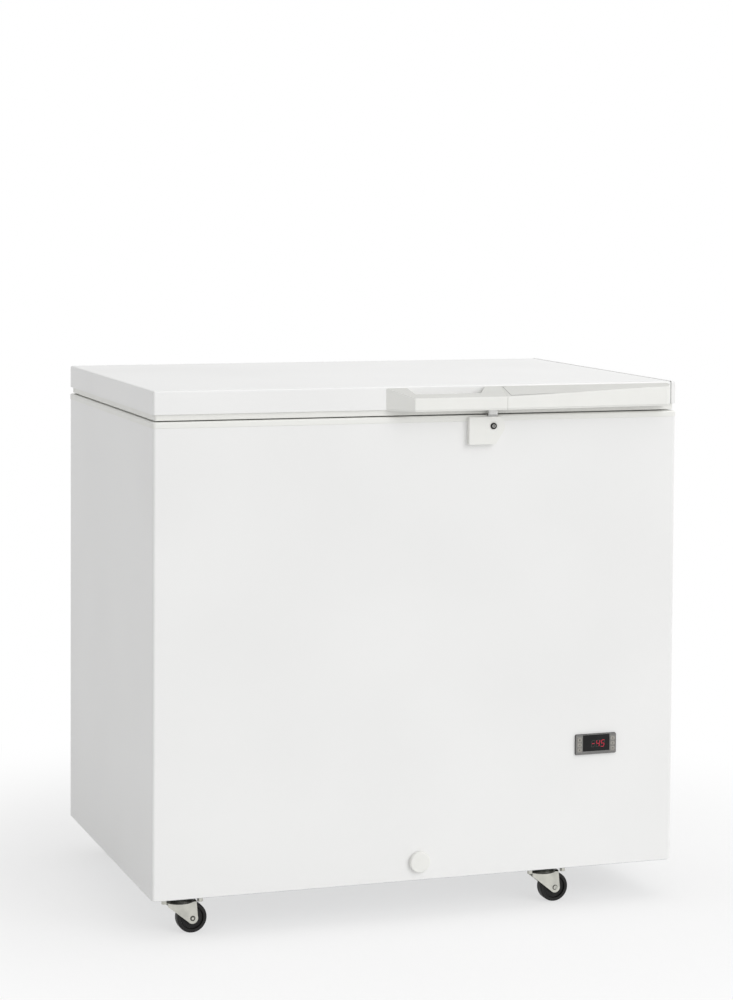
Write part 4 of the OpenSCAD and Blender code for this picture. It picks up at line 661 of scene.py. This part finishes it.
def on_rivet(face):
    off_axle = min(Vector((face.center.x - x, face.center.z - WHEEL_RADIUS * MM)).length for x in axles)
    side = min(abs(abs(face.center.y) - y) for y in rivet_faces)
    return RIVET_DIMPLE * MM < off_axle < RIVET_RADIUS * MM and side < RIVET_DEPTH * MM


for fork in FORKS:
    second_finish(finished[fork], grease_and_painted_shade_zinc, on_race)
    second_finish(finished[fork], burnished_steel, on_rivet)

# %% [markdown]
# A bare plate of satin film lies on the slanted band of the fascia, in the band's painted shade
# grey. A slightly wider dark grey sheet under it shows as a hairline round it, a painted shade line.
# The band is a ruled surface between the front edge, which bows back towards the right, and the
# straight rear edge. A flat grid is laid on that surface, so the plate follows it exactly, and
# extruding the grid gives the film its thickness. The same few lines make the wider dark sheet
# under it.

# %% Bare plate on the fascia
PLATE_LEFT = 145
PLATE_RIGHT = 433
PLATE_SLANT = 5
PLATE_START = 0.1
PLATE_END = 0.9
BOW_LENGTH = 295
BOW_BACK = 11.5
BOW_UP = 5.1
BAND_FRONT_Z = 876.5
BAND_WIDTH = 37
BAND_NORMAL = Vector((0, -0.4, 0.92))


def on_band(x, across):
    from_left = x - fascia_low.x / MM
    bow = (1 - cos(pi * min(from_left / BOW_LENGTH, 1))) / 2
    rise = TAPER * from_left / ((fascia_high.x - fascia_low.x) / MM)
    front = Vector((x, fascia_low.y / MM + BOW_BACK * bow, BAND_FRONT_Z + BOW_UP * bow + rise))
    rear = Vector((x, fascia_high.y / MM, fascia_high.z / MM))
    return front.lerp(rear, across)


def band_film(name, margin, lift, thickness, material):
    start_across = PLATE_START - margin / BAND_WIDTH
    span = PLATE_END - PLATE_START + 2 * margin / BAND_WIDTH
    bm = bmesh.new()
    bmesh.ops.create_grid(bm, x_segments=32, y_segments=2, size=0.5)
    for vert in bm.verts:
        across = start_across + (vert.co.y + 0.5) * span
        left = PLATE_LEFT - margin - PLATE_SLANT * across
        x = left + (vert.co.x + 0.5) * (PLATE_RIGHT + margin - left)
        vert.co = (on_band(x, across) + BAND_NORMAL * lift) * MM
    top = bmesh.ops.extrude_face_region(bm, geom=bm.faces[:])["geom"]
    raised = [g for g in top if isinstance(g, bmesh.types.BMVert)]
    bmesh.ops.translate(bm, verts=raised, vec=BAND_NORMAL * thickness * MM)
    bmesh.ops.recalc_face_normals(bm, faces=bm.faces)
    return show(name, bm, material, "lid")


# The dark grey sheet under the plate is a painted shade line round its edge.
edge_shade_film = moulded_plastic("painted_shade_edge_film", "#7E7E7B", "#747472", 0.6)
band_film("fascia_plate_shade_rim", 0.7, 0.0, 0.12, edge_shade_film)
band_film("fascia_plate", 0.0, 0.1, 0.2, band_shade_abs)
print("the bare plate is", PLATE_RIGHT - PLATE_LEFT, "mm long")

# %% [markdown]
# The steel skin of the lid closes at its right end in a folded seam. A thin strip painted dark grey
# draws it as one fine line across the top and down the front, and that grey is painted shade. The
# controller sits on a thin rubber seal that is a little over half a millimetre wider than its grey
# front, and its black rim is also a painted shade line round that front. Both are long, thin
# blocks, so one helper makes a block between two corners from a cube, and can round the edges that
# run from front to back.

# %% Seam of the lid and seal of the controller
SEAM_IN = 9
SEAM_W = 1.0
SEAM_PROUD = 0.06
SEAM_SUNK = 0.2
SEAL_W = 0.6
SEAL_T = 1.2


def block(name, low, high, material, body, corner=0.0):
    bm = bmesh.new()
    bmesh.ops.create_cube(bm, size=1)
    bmesh.ops.scale(bm, vec=[h - l for l, h in zip(low, high)], verts=bm.verts)
    bmesh.ops.translate(bm, vec=[(h + l) / 2 for l, h in zip(low, high)], verts=bm.verts)
    if corner:
        along = [e for e in bm.edges if abs((e.verts[0].co - e.verts[1].co).normalized().y) > 0.9]
        bmesh.ops.bevel(bm, geom=along, offset=corner, affect="EDGES", segments=4, profile=0.5, material=-1)
    bmesh.ops.scale(bm, vec=(MM, MM, MM), verts=bm.verts)
    return show(name, bm, material, body)


# The seam strip's dark grey is painted shade along the lid's right end.
seam_painted_shade = moulded_plastic("grey_seam_painted_shade", "#6F6F6C", "#666663", 0.8, Specular_IOR_Level=0.1)
skin_low, skin_high = (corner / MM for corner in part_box("lid_skin"))
seam_x = skin_high.x - SEAM_IN
block("lid_seam_shade_top", (seam_x - 2 * SEAM_W, skin_low.y, skin_high.z - SEAM_SUNK),
      (seam_x, skin_high.y, skin_high.z + SEAM_PROUD), seam_painted_shade, "lid")
block("lid_seam_shade_front", (seam_x - SEAM_W, skin_low.y - SEAM_PROUD, skin_low.z),
      (seam_x, skin_low.y + SEAM_SUNK, skin_high.z), seam_painted_shade, "lid")
bezel_low, bezel_high = (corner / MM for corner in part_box("controller_bezel"))
# The seal's black rim also stands for the shade round the controller's grey front.
block("controller_seal_and_shade_rim", (bezel_low.x - SEAL_W, skin_low.y - SEAL_T, bezel_low.z - SEAL_W),
      (bezel_high.x + SEAL_W, skin_low.y, bezel_high.z + SEAL_W), soft_rubber, "root",
      corner=2.5)
print("the seam runs", SEAM_IN, "mm from the lid's right end")

# %% [markdown]
# Each key carries a small dark mark in thick ink: arrows on the keys that step through the list,
# a dot, a diamond and two bars on the others. All of them are flat discs: an arrow has three
# sides, a diamond four and a dot twelve, and a bar is a square that is pulled wide. Each entry
# gives the sides, how many times wider than high the mark is, and its turn.

# %% Marks on the keys
MARKS = {"key_left_top": (12, 1, 0), "key_left_middle": (4, 2.2, 45), "key_left_bottom": (4, 1, 0),
         "key_right_top": (3, 1, 0), "key_right_middle": (3, 1, 60), "key_right_bottom": (4, 2.2, 45)}
MARK_RADIUS = 1.7
INK = 0.12


def raise_from(bm, y, thickness):
    bmesh.ops.translate(bm, verts=bm.verts, vec=(0, y, 0))
    front = bmesh.ops.extrude_face_region(bm, geom=bm.faces[:])["geom"]
    moved = [g for g in front if isinstance(g, bmesh.types.BMVert)]
    bmesh.ops.translate(bm, verts=moved, vec=(0, -thickness * MM, 0))
    bmesh.ops.recalc_face_normals(bm, faces=bm.faces)


mark_print = moulded_plastic("dark_key_print", "#5E5C59", "#565451", 0.5)
for key, (sides, wide, turn) in MARKS.items():
    low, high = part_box(key)
    mark = bmesh.new()
    bmesh.ops.create_circle(mark, cap_ends=True, segments=sides, radius=MARK_RADIUS * MM)
    bmesh.ops.rotate(mark, verts=mark.verts, matrix=Matrix.Rotation(radians(turn), 3, "Z"))
    bmesh.ops.scale(mark, verts=mark.verts, vec=(wide ** 0.5, wide ** -0.5, 1))
    bmesh.ops.rotate(mark, verts=mark.verts, matrix=Matrix.Rotation(pi / 2, 3, "X"))
    bmesh.ops.translate(mark, verts=mark.verts, vec=((low.x + high.x) / 2, 0, (low.z + high.z) / 2))
    raise_from(mark, low.y, INK)
    show(f"{key}_mark", mark, mark_print, body_of[key])
print(len(MARKS), "keys have their marks")

# %% [markdown]
# The display shows its set point in red figures. Each figure of such a display is seven bars with
# pointed ends, of which some are lit, and the whole figure leans a few degrees. One bar is a
# six-sided disc that is pulled long. The bars of a figure are lettered from the top clockwise,
# with the middle one last, and each entry gives the bar's column, its row and whether it stands
# upright.

# %% Bars of a figure
FIGURE_H = 11.0
FIGURE_W = 5.5
FIGURE_LEAN = 9
BAR_W = 1.2
BAR_GAP = 0.5
BARS = {"a": (0, 1, False), "b": (0.5, 0.5, True), "c": (0.5, -0.5, True), "d": (0, -1, False),
        "e": (-0.5, -0.5, True), "f": (-0.5, 0.5, True), "g": (0, 0, False)}


def bar(bm, centre, length, upright):
    made = bmesh.ops.create_circle(bm, cap_ends=True, segments=6, radius=BAR_W / 2 * MM)["verts"]
    bmesh.ops.rotate(bm, verts=made, matrix=Matrix.Rotation(pi / 2, 3, "Z"))
    tip_axis = max((0, 1), key=lambda axis: max(abs(v.co[axis]) for v in made))
    for side in (-1, 1):
        half = [v for v in made if v.co[tip_axis] * side > 0.05 * MM]
        pull = [0, 0, 0]
        pull[tip_axis] = side * (length - BAR_W) / 2 * MM
        bmesh.ops.translate(bm, verts=half, vec=pull)
    turn = Matrix.Rotation(pi / 2 if (tip_axis == 0) == upright else 0, 4, "Z")
    stand = Matrix.Rotation(pi / 2, 4, "X")
    bmesh.ops.transform(bm, verts=made, matrix=Matrix.Translation(centre) @ stand @ turn)
    return made


def figure(bm, letters, x, z):
    lean = Matrix.Identity(4)
    lean[0][2] = tan(radians(FIGURE_LEAN))
    for letter in letters:
        column, row, upright = BARS[letter]
        centre = Vector((column * FIGURE_W * MM, 0, row * FIGURE_H / 2 * MM))
        length = (FIGURE_H / 2 if upright else FIGURE_W) - BAR_GAP
        made = bar(bm, centre, length, upright)
        bmesh.ops.transform(bm, verts=made, matrix=Matrix.Translation((x, 0, z)) @ lean)


print(len(BARS), "bars make one figure of", FIGURE_H, "mm")

# %% [markdown]
# On the real display a lit bar glows faintly red through the smoked window, brighter in spots
# where its diode sits, and an unlit one is a grey that hardly shows. The window here is too dark
# to see through, so the bars stand on it as discs a tenth of a millimetre thick, which looks the
# same from in front. Two meshes take all the lit and all the unlit bars of a minus sign, a four
# and a five.

# %% Figures of the display
LIT = {"-": "g", "4": "bcfg", "5": "acdfg"}
FIGURE_STEP = 8.8
LAST_FIGURE_IN = 36.9
FIGURES_DOWN = 1.4
UNLIT_T = 0.06


def lamp(name, colour, spot, glow):
    material, tree, shader, place = start(name, colour, 0.3)
    diodes = add(tree, "ShaderNodeTexNoise", {"Vector": place, "Scale": per_mm(1.5), "Detail": 1.0})
    connect(tree, shader, Base_Color=add(tree, "ShaderNodeValToRGB", {"Fac": diodes}, ramp=(colour, spot)))
    shader.inputs["Emission Color"].default_value = linear(colour)
    shader.inputs["Emission Strength"].default_value = glow
    return material


lens_low, lens_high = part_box("controller_lens")
figures_z = (lens_low.z + lens_high.z) / 2 - FIGURES_DOWN * MM
last_x = lens_low.x + LAST_FIGURE_IN * MM
places = [last_x + (i - 2) * FIGURE_STEP * MM for i in range(3)]
lit = bmesh.new()
unlit = bmesh.new()
for sign, x in zip("-45", places):
    figure(lit, LIT[sign], x, figures_z)
    figure(unlit, [letter for letter in BARS if letter not in LIT[sign]], x, figures_z)
raise_from(lit, lens_low.y, INK)
raise_from(unlit, lens_low.y, UNLIT_T)
red = lamp("lit_red_diode", "#A81832", "#C81C3C", 0.3)
grey_bar = lamp("unlit_diode", "#23211F", "#2B2926", 0.0)
show("display_figures", lit, red, "root")
show("display_unlit_bars", unlit, grey_bar, "root")
print("the display shows -45")

# %% [markdown]
# A studio for a white object needs care: white on white only reads by small steps in brightness.
# An even, bright sky does most of the work. It is plain white where the camera, a mirror or glass
# looks at it, and dimmer where it lights the freezer, so that the paint keeps its tone.

# %% Sky
SKY_LEVEL = 0.54
bpy.context.scene.view_settings.view_transform = "Standard"


def seen_directly(tree):
    path = add(tree, "ShaderNodeLightPath").outputs
    either = add(tree, "ShaderNodeMath", {0: path["Is Camera Ray"], 1: path["Is Glossy Ray"]},
                 operation="MAXIMUM")
    return add(tree, "ShaderNodeMath", {0: either, 1: path["Is Transmission Ray"]}, operation="MAXIMUM")


def studio_sky():
    world = bpy.data.worlds.new("studio_sky")
    world.use_nodes = True
    tree = world.node_tree
    background = tree.nodes["Background"]
    background.inputs["Color"].default_value = linear("#FFFFFF")
    level = add(tree, "ShaderNodeMapRange", {"Value": seen_directly(tree), "To Min": SKY_LEVEL,
                                             "To Max": 1.0})
    tree.links.new(level.outputs["Result"], background.inputs["Strength"])
    bpy.context.scene.world = world


studio_sky()
print("sky", SKY_LEVEL)

# %% [markdown]
# The floor is nearly white and keeps the soft shadow under the cabinet. Further out it fades into
# the plain white of the background. That is done by mixing in white light of its own, which only
# the camera, a mirror or glass sees, so it never lights the freezer.

# %% Floor
FLOOR_GLOW = 0.6
FLOOR_FADE = (0.45, 1.3)


def studio_floor():
    material, tree, shader, place = start("white_studio_floor", "#F6F6F6", 0.9, Specular_IOR_Level=0.0)
    clouds = add(tree, "ShaderNodeTexNoise", {"Vector": place, "Scale": per_mm(500), "Detail": 2.0})
    connect(tree, shader, Base_Color=add(tree, "ShaderNodeValToRGB", {"Fac": clouds},
                                         ramp=("#F5F5F5", "#F7F7F7")))
    glow = add(tree, "ShaderNodeEmission", {"Color": linear("#FFFFFF"), "Strength": 1.0})
    distance = add(tree, "ShaderNodeVectorMath", {0: place}, operation="LENGTH").outputs["Value"]
    fade = add(tree, "ShaderNodeMapRange", {"Value": distance, "From Min": FLOOR_FADE[0],
                                            "From Max": FLOOR_FADE[1], "To Min": FLOOR_GLOW},
               interpolation_type="SMOOTHSTEP")
    share = add(tree, "ShaderNodeMath", {0: fade, 1: seen_directly(tree)}, operation="MULTIPLY")
    mix = add(tree, "ShaderNodeMixShader", {"Fac": share, 1: shader, 2: glow})
    tree.links.new(mix.outputs["Shader"], tree.nodes["Material Output"].inputs["Surface"])
    return material


bm = bmesh.new()
bmesh.ops.create_grid(bm, x_segments=1, y_segments=1, size=30)
floor_mesh = bpy.data.meshes.new("studio_floor")
bm.to_mesh(floor_mesh)
bm.free()
floor_mesh.materials.append(studio_floor())
floor = bpy.data.objects.new("studio_floor", floor_mesh)
bpy.context.scene.collection.objects.link(floor)
print("the floor fades from", FLOOR_FADE[0], "to", FLOOR_FADE[1], "m")

# %% [markdown]
# Three lamps give the steps in brightness. One very soft lamp from the right front makes the
# front a little brighter than the left side, a soft box overhead lights the top of the lid, and a
# weak one on the left lifts the upper part of that side. They are as weak as they can be while
# the edges still read, because a white surface has little room before it turns into plain white.

# %% Lamps
LAMP_LEVEL = 1.14
LAMP_SPREAD = 50
LAMP_FROM = Vector((0.45, -0.80, 0.42))
SOFT_BOXES = {"soft_box_overhead": (13.0, (2.4, 1.6), Vector((0.9, -0.5, 2.6))),
              "soft_box_left": (2.0, (1.4, 1.4), Vector((-2.2, 0.2, 2.3)))}
BOX_AIM = Vector((0, 0, 0.7))


def hang(name, data, place, towards_light):
    light = bpy.data.objects.new(name, data)
    light.location = place
    light.rotation_euler = towards_light.to_track_quat("Z", "Y").to_euler()
    bpy.context.scene.collection.objects.link(light)


lamp_data = bpy.data.lights.new("soft_lamp", "SUN")
lamp_data.energy = LAMP_LEVEL
lamp_data.angle = radians(LAMP_SPREAD)
hang("soft_lamp", lamp_data, (0, 0, 0), LAMP_FROM)
for name, (watts, size, place) in SOFT_BOXES.items():
    box_data = bpy.data.lights.new(name, "AREA")
    box_data.shape = "RECTANGLE"
    box_data.size, box_data.size_y = size
    box_data.energy = watts
    hang(name, box_data, place, place - BOX_AIM)
print("one soft lamp and", len(SOFT_BOXES), "soft boxes")
